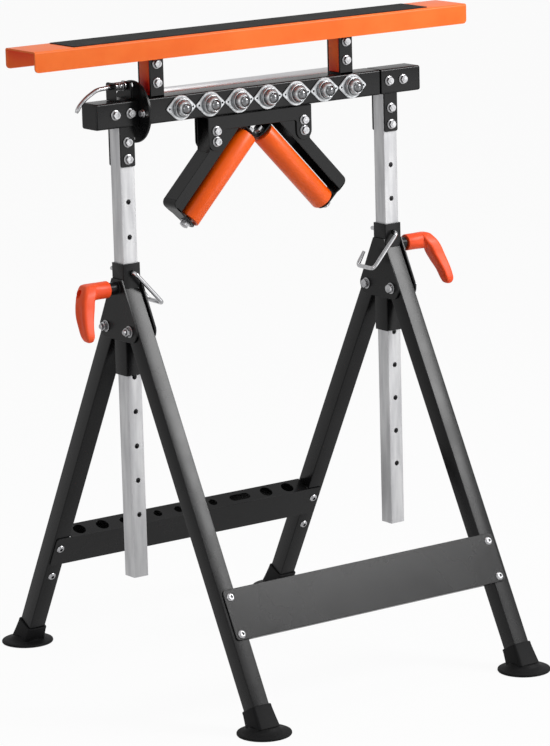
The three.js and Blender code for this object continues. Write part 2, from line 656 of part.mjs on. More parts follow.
// The arm's frame: x runs down along the roller from its upper end, z points to the arm's back
function alongArm(x, z) {
  const dx = x - VEE_START_X;
  const dz = z - VEE_START_Z;
  const c = Math.cos(VEE_TILT);
  const s = Math.sin(VEE_TILT);
  return [dx * c - dz * s, dx * s + dz * c];
}

function armBody() {
  const back = 45;
  const lip = 26;
  const end = VEE_LENGTH + 6;
  const cheek = outline([
    [-5, lip], [end, lip], [end, 38], [end - 7, back], alongArm(92, 792.8), alongArm(92, 838), alongArm(39, 838)]);
  const tab = (x0) => join(
    box(x0, x0 + 2.5, -16, 16, lip, 36),
    box(x0, x0 + 2.5, -13, 13, 0, lip + 1),
    pin("x", x0, x0 + 2.5, 13, 0, 0));
  const web = box(68, end - 7.5, -16, 16, back - 2, back);
  const body = join(plateY(cheek, 14, 16), plateY(cheek, -16, -14), web, tab(-5), tab(end - 2.5));
  return cut(body, pin("x", -20, end + 20, AXLE_RADIUS + GAP, 0, 0));
}

const vee = group(frame, VEE_X);
add(vee, "vee_yoke", yokeBody(), BLACK_PAINT);
for (const [side, sign] of [["left", -1], ["right", 1]]) {
  const half = group(vee);
  half.scale.x = sign;
  const arm = group(half, VEE_START_X, 0, VEE_START_Z);
  arm.rotation.y = VEE_TILT;
  add(arm, `vee_arm_${side}`, armBody(), BLACK_PAINT);
  add(arm, `vee_axle_${side}`, axleBody(-5, VEE_LENGTH + 6, 0, 0), ZINC);
  add(arm, `vee_roller_${side}`, rollerBody(0.5, VEE_LENGTH + 0.5, VEE_RADIUS, 3, 12, 0, 0), ORANGE_PLASTIC);
}

export default stand;
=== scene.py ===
# %% [markdown]
# # A four-way roller stand
# The stand is bent and welded steel under black powder coat, with zinc-plated square masts, an orange
# channel on top, and a turning head with ball transfers, a long steel roller and a pair of orange vee
# rollers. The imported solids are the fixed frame. Most of them are crisp and low in facets, so this lesson
# makes each piece again with rolled edges, round holes and real fasteners, and lets it stand for its solid.

import math

import bmesh
import bpy
from mathutils import Matrix, Vector


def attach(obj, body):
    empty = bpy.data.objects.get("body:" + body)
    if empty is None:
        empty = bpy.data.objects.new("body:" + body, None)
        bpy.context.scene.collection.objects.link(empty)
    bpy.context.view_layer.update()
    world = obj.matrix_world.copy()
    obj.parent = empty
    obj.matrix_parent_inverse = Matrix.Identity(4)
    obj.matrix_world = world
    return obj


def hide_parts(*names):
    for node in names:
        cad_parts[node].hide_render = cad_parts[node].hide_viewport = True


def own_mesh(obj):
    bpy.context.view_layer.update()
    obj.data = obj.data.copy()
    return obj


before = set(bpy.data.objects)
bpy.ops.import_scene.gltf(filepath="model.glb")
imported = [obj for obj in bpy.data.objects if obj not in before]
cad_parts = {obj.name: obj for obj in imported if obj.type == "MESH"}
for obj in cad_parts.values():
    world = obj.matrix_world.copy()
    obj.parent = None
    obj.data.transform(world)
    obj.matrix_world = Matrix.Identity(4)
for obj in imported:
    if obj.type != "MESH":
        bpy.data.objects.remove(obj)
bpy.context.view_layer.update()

# %% [markdown]
# ## Measures
# All sizes are millimetres in the stand's own frame: X runs along the head from the middle between the
# masts, -Y is the side with the ball transfers, and Z is up from the floor. One matrix turns them into the
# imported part's frame, which is in metres with its origin under the middle of the whole box. Each piece
# could have its own numbers, but shared ones keep pieces in touch, so they stand here. Sizes that a single
# piece needs are named in that piece's own cell.

# %% Named measures
MM = 0.001  # one millimetre in Blender's metres
UNIT = Matrix.Scale(MM, 4)
SHIFT_X = 18  # from the middle of the box to the middle between the masts
STAND = Matrix.Translation((SHIFT_X * MM, 0, 0)) @ UNIT
MAST_X = 241
MAST_HALF = 12.5
MAST_ENDS = (171.5, 844)
PIN_Z = 630.5
SLEEVE_HALF = 15
GUSSET = 3
CLAMP_Z = 608
PIVOT_Y = 30.7
PIVOT_Z = 547.4
LEG_ANGLE = math.radians(27.5)
LEG_HALF = 14
LEG_END = 598
AXIS_Z = 863.5
BEAM_HALF = 19
POST_X = (-186, 158)
ROLLER_Y = 43.5
ROLLER_ENDS = (-184, 188)
VEE_X = -5
VEE_START = (14.6, 809)
VEE_TILT = math.radians(46.5)
VEE_LENGTH = 158
SIDES = {"left": -1, "right": 1}
PAIRS = ("front", "rear")
SEAT_GAP = 0.3  # between parts that are bolted to each other


def mirror_x(sign):
    return Matrix.Diagonal((sign, 1, 1, 1))


def side_frame(side):
    """Millimetres with +x pointing outwards from the middle, on either side."""
    return STAND @ mirror_x(SIDES[side])


def pair_turn(pair):
    """The rear legs are the front ones turned half round about the stand's middle."""
    return Matrix.Identity(4) if pair == "front" else Matrix.Rotation(math.pi, 4, "Z")


def leg_frame(pair):
    """The leg pair's own frame: the pivot line at the origin, the legs down local -z."""
    lean = Matrix.Translation((0, -PIVOT_Y, PIVOT_Z)) @ Matrix.Rotation(-LEG_ANGLE, 4, "X")
    return STAND @ pair_turn(pair) @ lean


def leg_x(pair, side):
    """A leg's place along its pair's own x, which the half turn reverses for the rear pair."""
    return SIDES[side] * (MAST_X if pair == "front" else -MAST_X)


def arm_frame(side):
    """The vee arm's frame: x down along its roller, z to the arm's back."""
    start = Matrix.Translation((VEE_START[0], 0, VEE_START[1])) @ Matrix.Rotation(VEE_TILT, 4, "Y")
    return STAND @ Matrix.Translation((VEE_X, 0, 0)) @ mirror_x(SIDES[side]) @ start


print("masts", 2 * MAST_X, "mm apart, head's axis", AXIS_Z, "mm up")

# %% [markdown]
# ## The camera
# The photograph's viewpoint was worked out by fitting known edges of the stand: a long lens from the left
# front, looking down by about twelve degrees, with a slight roll. The camera could be aimed with a Track To
# constraint, but that levels the picture, so its three axes are written straight into its matrix. The
# picture is 550 by 746, so the sensor's 36 mm is its height.

# %% Camera
IMAGE_HEIGHT = 746
FOCAL_PIXELS = 3765.8
CAMERA_AZIMUTH = math.radians(-35.77)
CAMERA_ELEVATION = math.radians(12.08)
CAMERA_ROLL = math.radians(-1.55)
CAMERA_DISTANCE = 5690.3
CAMERA_TARGET = Vector((21.9, 0, 439.7))
CAMERA_REACH = 50  # metres, past the far edge of the floor
SENSOR = 36


def make_camera():
    flat = math.cos(CAMERA_ELEVATION)
    back = Vector((
        math.sin(CAMERA_AZIMUTH) * flat, -math.cos(CAMERA_AZIMUTH) * flat, math.sin(CAMERA_ELEVATION)))
    right = (-back).cross(Vector((0, 0, 1))).normalized()
    up = right.cross(-back)
    rolled_right = right * math.cos(CAMERA_ROLL) + up * math.sin(CAMERA_ROLL)
    rolled_up = up * math.cos(CAMERA_ROLL) - right * math.sin(CAMERA_ROLL)
    turn = Matrix((rolled_right, rolled_up, back)).transposed().to_4x4()
    data = bpy.data.cameras.new("photo_camera")
    data.sensor_width = SENSOR
    data.lens = FOCAL_PIXELS * SENSOR / IMAGE_HEIGHT
    data.clip_end = CAMERA_REACH
    camera = bpy.data.objects.new("photo_camera", data)
    bpy.context.scene.collection.objects.link(camera)
    camera.matrix_world = Matrix.Translation(STAND @ (CAMERA_TARGET + back * CAMERA_DISTANCE)) @ turn
    bpy.context.scene.camera = camera
    print("lens", round(data.lens, 1), "mm")


make_camera()

# %% [markdown]
# ## Nodes and colours
# Every colour is written as an sRGB hex value and turned to linear in one place. A material could be wired
# in the editor and loaded, but a script that says each link can be read. One small function adds a node
# with its settings and links, so each material reads as a list of what it is made of.

# %% Material helpers
def hex_rgba(value):
    """An sRGB hex colour as the linear colour that shaders take."""
    def linear(c):
        return c / 12.92 if c <= 0.04045 else ((c + 0.055) / 1.055) ** 2.4
    digits = value.lstrip("#")
    return tuple(linear(int(digits[i:i + 2], 16) / 255) for i in (0, 2, 4)) + (1.0,)


def grey(value):
    return (value, value, value, 1.0)


def pattern_scale(size_mm):
    """The texture scale for a pattern of this size, as Object coordinates are metres."""
    return 1 / (size_mm * MM)


def node(tree, kind, links=None, stops=(), **settings):
    """Add one node. A setting that names an input gives its value, and any other is the node's own.
    Stops are the places and colours of a colour ramp."""
    made = tree.nodes.new(kind)
    for key, value in settings.items():
        if hasattr(made, key):
            setattr(made, key, value)
        else:
            made.inputs[key.replace("_", " ")].default_value = value
    for i, (position, colour) in enumerate(stops):
        made.color_ramp.elements[i].position = position
        made.color_ramp.elements[i].color = colour
    for key, source in (links or {}).items():
        tree.links.new(source, made.inputs[key])
    return made


def new_material(name):
    material = bpy.data.materials.new(name)
    material.use_nodes = True
    material.node_tree.nodes.clear()
    return material, material.node_tree


def painted_corner_shade(tree, colour, shade, reach_mm, closed=0.25, clear=0.85):
    """Painted shade: the colour, multiplied by a dark colour where other faces stand close over the surface.
    """
    open_sky = node(tree, "ShaderNodeAmbientOcclusion", Distance=reach_mm * MM)
    closeness = node(
        tree, "ShaderNodeValToRGB", {"Fac": open_sky.outputs["AO"]},
        stops=((closed, hex_rgba(shade)), (clear, grey(1.0))))
    mixed = node(
        tree, "ShaderNodeMixRGB", {"Color1": colour, "Color2": closeness.outputs["Color"]},
        blend_type="MULTIPLY", Fac=1.0)
    return mixed.outputs["Color"]


# %% [markdown]
# ## Powder coat
# The frame is steel under a black polyester powder coat, sprayed dry and baked. To the eye that is a satin
# skin with a faint orange peel, which handling rubs a little paler in patches. The same recipe in orange
# covers the channel, and there a painted shade darkens the inside to a deep red where the walls stand close,
# in place of the shadow and the orange light thrown from wall to wall. A flat colour would do from afar, but
# the peel breaks up the long reflections on the legs. Real peel is about half a millimetre across. It is
# drawn at 1.6 mm, because anything finer is lost in the render.

# %% Powder coats
COAT_CLOUD = 60
ORANGE_PEEL = 1.6
# Painted shade: the channel's inside is darkened to red where a facing wall is this near
CHANNEL_SHADE_REACH = 45  # how near the facing wall has to be for the inside to redden


def powder_coat(name, base, rubbed, roughness, specular, inside=None):
    material, tree = new_material(name)
    place = node(tree, "ShaderNodeTexCoord").outputs["Object"]
    noise = node(tree, "ShaderNodeTexNoise", {"Vector": place}, Scale=pattern_scale(COAT_CLOUD), Detail=3.0)
    cloud = noise.outputs["Fac"]
    colour = node(
        tree, "ShaderNodeValToRGB", {"Fac": cloud},
        stops=((0.35, hex_rgba(base)), (0.75, hex_rgba(rubbed)))).outputs["Color"]
    # Painted shade: the colour is darkened towards the inside colour where other faces stand close
    if inside:
        colour = painted_corner_shade(tree, colour, inside, CHANNEL_SHADE_REACH, closed=0.45, clear=0.95)
    peel = node(tree, "ShaderNodeTexNoise", {"Vector": place}, Scale=pattern_scale(ORANGE_PEEL), Detail=2.0)
    bump = node(
        tree, "ShaderNodeBump", {"Height": peel.outputs["Fac"]}, Strength=0.09, Distance=0.4 * MM)
    sheen = node(
        tree, "ShaderNodeValToRGB", {"Fac": cloud},
        stops=((0.3, grey(roughness - 0.04)), (0.8, grey(roughness + 0.06))))
    shader = node(
        tree, "ShaderNodeBsdfPrincipled",
        {"Base Color": colour, "Roughness": sheen.outputs["Color"], "Normal": bump.outputs["Normal"]},
        Specular_IOR_Level=specular)
    node(tree, "ShaderNodeOutputMaterial", {"Surface": shader.outputs["BSDF"]})
    return material


BLACK_COAT = powder_coat("black_powder_coat", "#0E0E0F", "#151516", roughness=0.26, specular=0.2)
# Its inside colour is a painted shade for the channel's shadowed, reddened inside
ORANGE_COAT = powder_coat(
    "orange_powder_coat", "#F26A20", "#F8782D", roughness=0.38, specular=0.22, inside="#E02A10")
print("powder coats", BLACK_COAT.name, ORANGE_COAT.name)

# %% [markdown]
# ## Zinc, steel and chrome
# The masts, cups and fasteners are bright zinc plate: a metal with a soft, slightly cloudy shine. The long
# roller is drawn steel tube, the balls are polished bearing steel, and the bent wires are chromed. They
# differ in colour, in how rough they are and in the size of the clouds, so one recipe serves them all.
# Clouds on drawn tube are pulled out along it, which a Mapping node does by squeezing one axis. Small parts
# get painted shade: ambient occlusion finds their corners, and the colour is darkened there.

# %% Metals
# Painted shade: the dark colour that the corners of small metal parts are darkened towards
CORNER_SHADE = "#3A3A3B"


def plated_metal(name, pale, dull, roughness, spread, cloud_mm, streak=(1, 1, 1), corner_shade_mm=0):
    material, tree = new_material(name)
    place = node(tree, "ShaderNodeTexCoord").outputs["Object"]
    stretched = node(tree, "ShaderNodeMapping", {"Vector": place}, Scale=streak)
    noise = node(
        tree, "ShaderNodeTexNoise", {"Vector": stretched.outputs["Vector"]},
        Scale=pattern_scale(cloud_mm), Detail=4.0)
    cloud = noise.outputs["Fac"]
    colour = node(
        tree, "ShaderNodeValToRGB", {"Fac": cloud},
        stops=((0.35, hex_rgba(dull)), (0.7, hex_rgba(pale)))).outputs["Color"]
    # Painted shade: darker where other faces stand close
    if corner_shade_mm:
        colour = painted_corner_shade(tree, colour, CORNER_SHADE, corner_shade_mm)
    rough = node(
        tree, "ShaderNodeValToRGB", {"Fac": cloud},
        stops=((0.3, grey(roughness + spread)), (0.75, grey(roughness))))
    bump = node(tree, "ShaderNodeBump", {"Height": cloud}, Strength=0.03, Distance=0.3 * MM)
    shader = node(
        tree, "ShaderNodeBsdfPrincipled",
        {"Base Color": colour, "Roughness": rough.outputs["Color"], "Normal": bump.outputs["Normal"]},
        Metallic=1.0)
    node(tree, "ShaderNodeOutputMaterial", {"Surface": shader.outputs["BSDF"]})
    return material


# Masts: pale and soft, with the clouds drawn out up the tube
ZINC_PLATE = plated_metal(
    "bright_zinc_plate", "#CACACB", "#B4B4B6", roughness=0.44, spread=0.08, cloud_mm=9, streak=(1, 1, 0.12))
# Bolts, nuts, axles and the index pin: tumbled while plated, so shinier
BOLT_ZINC = plated_metal(
    "bolt_zinc", "#C4C4C6", "#9E9EA0", roughness=0.24, spread=0.1, cloud_mm=4, corner_shade_mm=6)
# Ball cups: plated after pressing, duller than the bolts
CUP_ZINC = plated_metal(
    "pressed_zinc_plate", "#D0D2D4", "#B0B2B4", roughness=0.36, spread=0.1, cloud_mm=4, corner_shade_mm=7)
# Long roller: drawn along its length, so the clouds run that way
DRAWN_STEEL = plated_metal(
    "drawn_steel_tube", "#DCDCDD", "#CFCFD1", roughness=0.3, spread=0.05, cloud_mm=14, streak=(0.25, 1, 1))
# Balls: a dark mirror
BALL_STEEL = plated_metal(
    "polished_bearing_steel", "#8A8B8D", "#77787A", roughness=0.12, spread=0.03, cloud_mm=5, corner_shade_mm=5)
# Lock wires and the index spring: a bright mirror
WIRE_CHROME = plated_metal(
    "chromed_wire", "#C6C6C8", "#B4B4B6", roughness=0.14, spread=0.03, cloud_mm=5, corner_shade_mm=4)
print("metals", ZINC_PLATE.name, BOLT_ZINC.name, CUP_ZINC.name, DRAWN_STEEL.name)

# %% [markdown]
# ## Plastics and rubber
# The vee rollers and the clamp levers are moulded orange plastic with a fine grain from the mould, the feet
# are black moulded rubber, and the strip on the channel is anti-slip tape: hard grit in a black binder.
# Grain of this kind could be an image, but noise as bump has no seams and needs no unwrapping. Mould grain
# is about a tenth of a millimetre, too fine for the render, so it is drawn near one millimetre. The grit is
# nearly its real size.

# %% Plastics, rubber and grit
FLOW_MARKS = 45  # broad, weak changes of tone where the plastic flowed


def moulded(name, base, shade, roughness, grain_mm, depth, specular):
    material, tree = new_material(name)
    place = node(tree, "ShaderNodeTexCoord").outputs["Object"]
    flow = node(tree, "ShaderNodeTexNoise", {"Vector": place}, Scale=pattern_scale(FLOW_MARKS), Detail=2.0)
    colour = node(
        tree, "ShaderNodeValToRGB", {"Fac": flow.outputs["Fac"]},
        stops=((0.3, hex_rgba(shade)), (0.75, hex_rgba(base))))
    noise = node(tree, "ShaderNodeTexNoise", {"Vector": place}, Scale=pattern_scale(grain_mm), Detail=3.0)
    grain = noise.outputs["Fac"]
    bump = node(tree, "ShaderNodeBump", {"Height": grain}, Strength=depth, Distance=0.4 * MM)
    rough = node(
        tree, "ShaderNodeValToRGB", {"Fac": grain},
        stops=((0.3, grey(roughness)), (0.8, grey(roughness + 0.1))))
    shader = node(
        tree, "ShaderNodeBsdfPrincipled",
        {"Base Color": colour.outputs["Color"], "Roughness": rough.outputs["Color"],
         "Normal": bump.outputs["Normal"]},
        Specular_IOR_Level=specular)
    node(tree, "ShaderNodeOutputMaterial", {"Surface": shader.outputs["BSDF"]})
    return material


ROLLER_PLASTIC = moulded(
    "orange_roller_plastic", "#FC6204", "#F05802", roughness=0.3, grain_mm=1.4, depth=0.05, specular=0.4)
LEVER_PLASTIC = moulded(
    "orange_lever_plastic", "#FB5C2C", "#F24C1A", roughness=0.38, grain_mm=0.9, depth=0.06, specular=0.3)
FOOT_RUBBER = moulded(
    "black_moulded_rubber", "#121213", "#0D0D0E", roughness=0.55, grain_mm=1.1, depth=0.2, specular=0.12)
PLUG_PLASTIC = moulded(
    "black_plug_plastic", "#171718", "#121213", roughness=0.5, grain_mm=1.0, depth=0.15, specular=0.3)
GRIT_TAPE = moulded(
    "anti_slip_grit", "#242424", "#101010", roughness=0.85, grain_mm=1.3, depth=0.9, specular=0.25)
print("materials", len(bpy.data.materials))

# %% [markdown]
# ## Mesh helpers
# Five shapes make nearly everything here. A plate is an outline with a thickness and a small broken edge,
# and a block is a plate on a rectangle. A square tube is a rounded outline with a wall. A turned piece is a
# profile spun about a line, and a run is a round section carried along a path. Bevel and Screw modifiers
# could do the same one piece at a time, but every mirrored side would need its own care. Here each shape is
# written into a bmesh through a matrix, so both sides of the stand come from the same lines.

# %% Outlines
MITRE_LIMIT = 0.3  # keeps an inset from running far out at a sharp corner


def arc(cx, cy, radius, start, end, steps):
    """Points of an arc, angles in degrees."""
    turns = [math.radians(start + (end - start) * i / steps) for i in range(steps + 1)]
    return [(cx + radius * math.cos(t), cy + radius * math.sin(t)) for t in turns]


def rounded(x0, x1, y0, y1, radius, steps=4):
    r = radius
    return (arc(x1 - r, y1 - r, r, 0, 90, steps) + arc(x0 + r, y1 - r, r, 90, 180, steps)
            + arc(x0 + r, y0 + r, r, 180, 270, steps) + arc(x1 - r, y0 + r, r, 270, 360, steps))


def inset(outline, distance):
    """The outline moved inwards, for a counter-clockwise outline."""
    count = len(outline)
    moved = []
    for i in range(count):
        before = Vector(outline[i]) - Vector(outline[i - 1])
        after = Vector(outline[(i + 1) % count]) - Vector(outline[i])
        before.normalize()
        after.normalize()
        middle = Vector((-before.y - after.y, before.x + after.x))
        scale = max(MITRE_LIMIT, (1 + before.dot(after)) / 2)
        moved.append(tuple(Vector(outline[i]) + middle / 2 * distance / scale))
    return moved


def lift(axis, points, along):
    """A flat outline set across an axis: it is (y, z) for x, (x, z) for y and (x, y) for z."""
    if axis == "x":
        return [(along, u, v) for u, v in points]
    if axis == "y":
        return [(u, along, v) for u, v in points]
    return [(u, v, along) for u, v in points]


def eased(points, ease, steps):
    """A path of straight runs with its corners rounded."""
    p = [Vector(q) for q in points]
    path = [p[0]]
    for i in range(1, len(p) - 1):
        before = p[i] + (p[i - 1] - p[i]).normalized() * ease
        after = p[i] + (p[i + 1] - p[i]).normalized() * ease
        for k in range(steps + 1):
            t = k / steps
            path.append(before * (1 - t) ** 2 + p[i] * 2 * t * (1 - t) + after * t ** 2)
    path.append(p[-1])
    return path


# %% Shapes
AXES = {
    "x": (Vector((0, 1, 0)), Vector((0, 0, 1)), Vector((1, 0, 0))),
    "y": (Vector((0, 0, 1)), Vector((1, 0, 0)), Vector((0, 1, 0))),
    "z": (Vector((1, 0, 0)), Vector((0, 1, 0)), Vector((0, 0, 1))),
}
BORE_CORNER = 0.4  # least radius in the corners of a tube's inside


def loops(bm, rings, place, closed=False):
    """Skin a list of rings of points. Closed joins the last ring to the first, else both ends are filled."""
    made = [[bm.verts.new(place @ Vector(p)) for p in ring] for ring in rings]
    pairs = list(zip(made, made[1:] + made[:1])) if closed else list(zip(made, made[1:]))
    for low, high in pairs:
        count = len(low)
        for i in range(count):
            bm.faces.new((low[i], low[(i + 1) % count], high[(i + 1) % count], high[i]))
    if not closed:
        bm.faces.new(made[0])
        bm.faces.new(made[-1])


def plate(bm, axis, outline, low, high, place, edge=0.5):
    """An outline across an axis, from low to high along it, with its edges broken."""
    small = inset(outline, edge)
    levels = ((small, low), (outline, low + edge), (outline, high - edge), (small, high))
    loops(bm, [lift(axis, points, along) for points, along in levels], place)


def block(bm, x, y, z, place, edge=0.5):
    plate(bm, "z", rounded(*x, *y, edge, 2), z[0], z[1], place, edge)


def square_tube(bm, middle, half, wall, radius, low, high, place):
    """Square tube along z, its outside corners rolled to a radius."""
    u, v = middle
    bore = half - wall
    outer = rounded(u - half, u + half, v - half, v + half, radius)
    inner = rounded(u - bore, u + bore, v - bore, v + bore, max(radius - wall, BORE_CORNER))
    levels = ((outer, low), (outer, high), (inner, high), (inner, low))
    loops(bm, [lift("z", points, along) for points, along in levels], place, closed=True)


def turned(bm, axis, profile, origin, place, sides=32):
    """Spin (along, radius) points about a line along an axis through the origin."""
    u, v, w = AXES[axis]
    start = Vector(origin)
    spin = [2 * math.pi * i / sides for i in range(sides)]
    rings = []
    for along, radius in profile:
        rings.append([start + w * along + (u * math.cos(t) + v * math.sin(t)) * radius for t in spin])
    loops(bm, rings, place)


def run(bm, path, radii, place, sides):
    """Carry a round section along a path, with a radius for each point."""
    points = [Vector(p) for p in path]
    spin = [2 * math.pi * k / sides for k in range(sides)]
    across = None
    rings = []
    for i, point in enumerate(points):
        ahead = (points[min(i + 1, len(points) - 1)] - points[max(i - 1, 0)]).normalized()
        if across is None:
            across = ahead.orthogonal().normalized()
        across = (across - ahead * across.dot(ahead)).normalized()
        third = ahead.cross(across)
        rings.append([point + (across * math.cos(t) + third * math.sin(t)) * radii[i] for t in spin])
    loops(bm, rings, place)


# %% [markdown]
# ## From mesh to piece
# A finished shape becomes an object at the origin with its place in its mesh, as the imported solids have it.
# Holes could be left out of every outline by hand. They are cut with the exact Boolean instead, which is
# slower than the fast one but keeps thin walls whole, and the result is kept as a plain mesh. Faces that
# meet at a shallow angle are shaded smooth, so that rolled edges look round and cut edges stay crisp.

# %% Piece helpers
SMOOTH_ANGLE = math.radians(32)
MERGE = 1e-7  # metres


def new_object(name, mesh):
    made = bpy.data.objects.new(name, mesh)
    bpy.context.scene.collection.objects.link(made)
    return made


def mesh_from(bm, name):
    bmesh.ops.remove_doubles(bm, verts=bm.verts, dist=MERGE)
    bmesh.ops.recalc_face_normals(bm, faces=bm.faces)
    mesh = bpy.data.meshes.new(name)
    bm.to_mesh(mesh)
    bm.free()
    return mesh


def shape_object(name, bm):
    return new_object(name, mesh_from(bm, name))


def plain_mesh(made):
    """The evaluated object as a plain mesh, with its modifiers gone."""
    depsgraph = bpy.context.evaluated_depsgraph_get()
    mesh = bpy.data.meshes.new_from_object(made.evaluated_get(depsgraph))
    made.modifiers.clear()
    made.data = mesh


def smooth(made):
    made.data.shade_smooth()
    made.data.set_sharp_from_angle(angle=SMOOTH_ANGLE)


def cut_away(made, cutter):
    """Subtract the cutter from a piece, and remove the cutter."""
    cutting = made.modifiers.new("holes", "BOOLEAN")
    cutting.operation = "DIFFERENCE"
    cutting.solver = "EXACT"
    cutting.use_self = True  # a piece may be several shells that run into each other
    cutting.object = cutter
    plain_mesh(made)
    bpy.data.objects.remove(cutter)


def piece(name, bm, material, body, stands_for=(), cutter=None):
    made = shape_object(name, bm)
    if cutter is not None:
        cut_away(made, cutter)
    made.data.materials.clear()
    made.data.materials.append(material)
    smooth(made)
    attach(made, body)
    if stands_for:
        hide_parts(*stands_for)
    print(name, len(made.data.polygons), "faces")
    return made


# %% [markdown]
# ## Rows by nodes
# Evenly spaced rows repeat on this stand: the holes of a mast and the ball cups of the head. A Python loop
# could copy the mesh, but a node tree has the count and the pitch as named inputs, so one tree serves both.
# Every tree here ends the same way: its instances become real and get their finish, because the export
# drops instances.

# %% Node trees
def new_tree(name, **inputs):
    """An empty geometry tree with the named inputs, and what its Group Input gives."""
    tree = bpy.data.node_groups.new(name, "GeometryNodeTree")
    tree.interface.new_socket("Geometry", in_out="OUTPUT", socket_type="NodeSocketGeometry")
    for socket, kind in inputs.items():
        tree.interface.new_socket(socket, in_out="INPUT", socket_type=f"NodeSocket{kind}")
    return tree, node(tree, "NodeGroupInput").outputs


def end_tree(tree, instances, finish):
    real = node(tree, "GeometryNodeRealizeInstances", {"Geometry": instances})
    painted = node(
        tree, "GeometryNodeSetMaterial", {"Geometry": real.outputs["Geometry"], "Material": finish})
    node(tree, "NodeGroupOutput", {"Geometry": painted.outputs["Geometry"]})


def row_tree():
    """A straight row of one shape."""
    tree, given = new_tree(
        "straight_row", Shape="Object", Count="Int", First="Vector", Pitch="Vector", Finish="Material")
    line = node(
        tree, "GeometryNodeMeshLine",
        {"Count": given["Count"], "Start Location": given["First"], "Offset": given["Pitch"]}, mode="OFFSET")
    shape = node(tree, "GeometryNodeObjectInfo", {"Object": given["Shape"]})
    spread = node(
        tree, "GeometryNodeInstanceOnPoints",
        {"Points": line.outputs["Mesh"], "Instance": shape.outputs["Geometry"]})
    end_tree(tree, spread.outputs["Instances"], given["Finish"])
    return tree


def grown(name, tree, shape, mesh=None, **values):
    """An object whose mesh a tree makes from a shape, kept as a plain mesh. The shape is used up."""
    values["Shape"] = shape
    made = new_object(name, mesh or bpy.data.meshes.new(name))
    modifier = made.modifiers.new(name, "NODES")
    modifier.node_group = tree
    for item in tree.interface.items_tree:
        if item.in_out == "INPUT" and item.name in values:
            modifier[item.identifier] = values[item.name]
    made.update_tag()
    plain_mesh(made)
    smooth(made)
    bpy.data.objects.remove(shape)
    return made


ROW = row_tree()
print("inputs of a row", [item.name for item in ROW.interface.items_tree if item.in_out == "INPUT"])

# %% [markdown]
# ## Masts
# Each mast is a zinc-plated 25 mm square tube with a row of 8 mm holes through its front and rear walls.
# The lock pin stands in one of them. The solid keeps only a few sides for each hole. Here one round drill
# is set along the mast by the row tree, and the whole row is cut away at once.

# %% Masts
MAST_WALL = 1.6
MAST_CORNER = 1.1
HOLE_RADIUS = 4
HOLE_PITCH = 52
HOLE_COUNT = 10
HOLES_BELOW = 7  # holes under the one that the lock pin stands in
DRILL_HALF = 20


def drill_row(place):
    drill = bmesh.new()
    turned(drill, "y", [(-DRILL_HALF, HOLE_RADIUS), (DRILL_HALF, HOLE_RADIUS)], (0, 0, 0), UNIT, sides=24)
    lowest = place @ Vector((MAST_X, 0, PIN_Z - HOLES_BELOW * HOLE_PITCH))
    return grown(
        "drill_row", ROW, shape_object("drill", drill), Count=HOLE_COUNT, First=lowest,
        Pitch=(0, 0, HOLE_PITCH * MM), Finish=ZINC_PLATE)


def make_mast(side):
    place = side_frame(side)
    bm = bmesh.new()
    square_tube(bm, (MAST_X, 0), MAST_HALF, MAST_WALL, MAST_CORNER, *MAST_ENDS, place)
    piece(f"mast_tube_{side}", bm, ZINC_PLATE, "masts", [f"mast_{side}"], drill_row(place))


for side in SIDES:
    make_mast(side)

# %% [markdown]
# ## Sleeves
# A sleeve is a short square tube that the mast slides in, between two gusset plates which carry the leg
# pivots. A round nut is welded to the outer gusset for the clamp screw. The real one is welded from four
# parts, so the piece is four shells that sink into each other a little, where the weld would be.

# %% Sleeves
SLEEVE_ENDS = (477.5, 644)
SLEEVE_WALL = 2
SLEEVE_CORNER = 1.3
GUSSET_TOP = 621
GUSSET_SHOULDER = 13.5
GUSSET_LOBE = 17.5
WELD = 0.2
NUT_END = 274.5
NUT_BORE = 5.4
PIN_BORE = 3.9
BORE_HALF = 25


def gusset_outline():
    top = GUSSET_SHOULDER
    lean = math.degrees(math.atan2(PIVOT_Y - top, GUSSET_TOP - PIVOT_Z))
    return (arc(PIVOT_Y, PIVOT_Z, GUSSET_LOBE, 270, 360 + lean, 8) + [(top, GUSSET_TOP), (-top, GUSSET_TOP)]
            + arc(-PIVOT_Y, PIVOT_Z, GUSSET_LOBE, 180 - lean, 270, 8))


def make_sleeve(side):
    place = side_frame(side)
    bm = bmesh.new()
    square_tube(bm, (MAST_X, 0), SLEEVE_HALF, SLEEVE_WALL, SLEEVE_CORNER, *SLEEVE_ENDS, place)
    for low in (MAST_X - SLEEVE_HALF - GUSSET, MAST_X + SLEEVE_HALF - WELD):
        plate(bm, "x", gusset_outline(), low, low + GUSSET + WELD, place, edge=0.7)
    out = MAST_X + SLEEVE_HALF + GUSSET
    nut = [(out - 0.5, 10.5), (out + 0.6, 9.6), (NUT_END - 1, 9), (NUT_END, 8), (NUT_END, NUT_BORE),
           (out - 0.5, NUT_BORE)]
    turned(bm, "x", nut, (0, 0, CLAMP_Z), place)
    bore = bmesh.new()
    turned(bore, "y", [(-BORE_HALF, PIN_BORE), (BORE_HALF, PIN_BORE)], (MAST_X, 0, PIN_Z), place, sides=20)
    piece(
        f"sleeve_weldment_{side}", bm, BLACK_COAT, "carriers", [f"sleeve_{side}"],
        shape_object("bore", bore))


for side in SIDES:
    make_sleeve(side)

# %% [markdown]
# ## Legs
# The legs are 28 mm square tube. Each swings on a bolt between the gussets, and its top is cut on the slant
# so that it butts against the sleeve when the stand is open. A slanted end could be worked into the tube's
# rings, but cutting a longer tube with an upright block gives the same face as the saw did.

# %% Legs
LEG_WALL = 1.8
LEG_CORNER = 1.6
LEG_TOP = 90  # length above the pivot before the slanted cut
STOP_GAP = 0.3
CUT_HALF = 50
CUT_REACH = 250


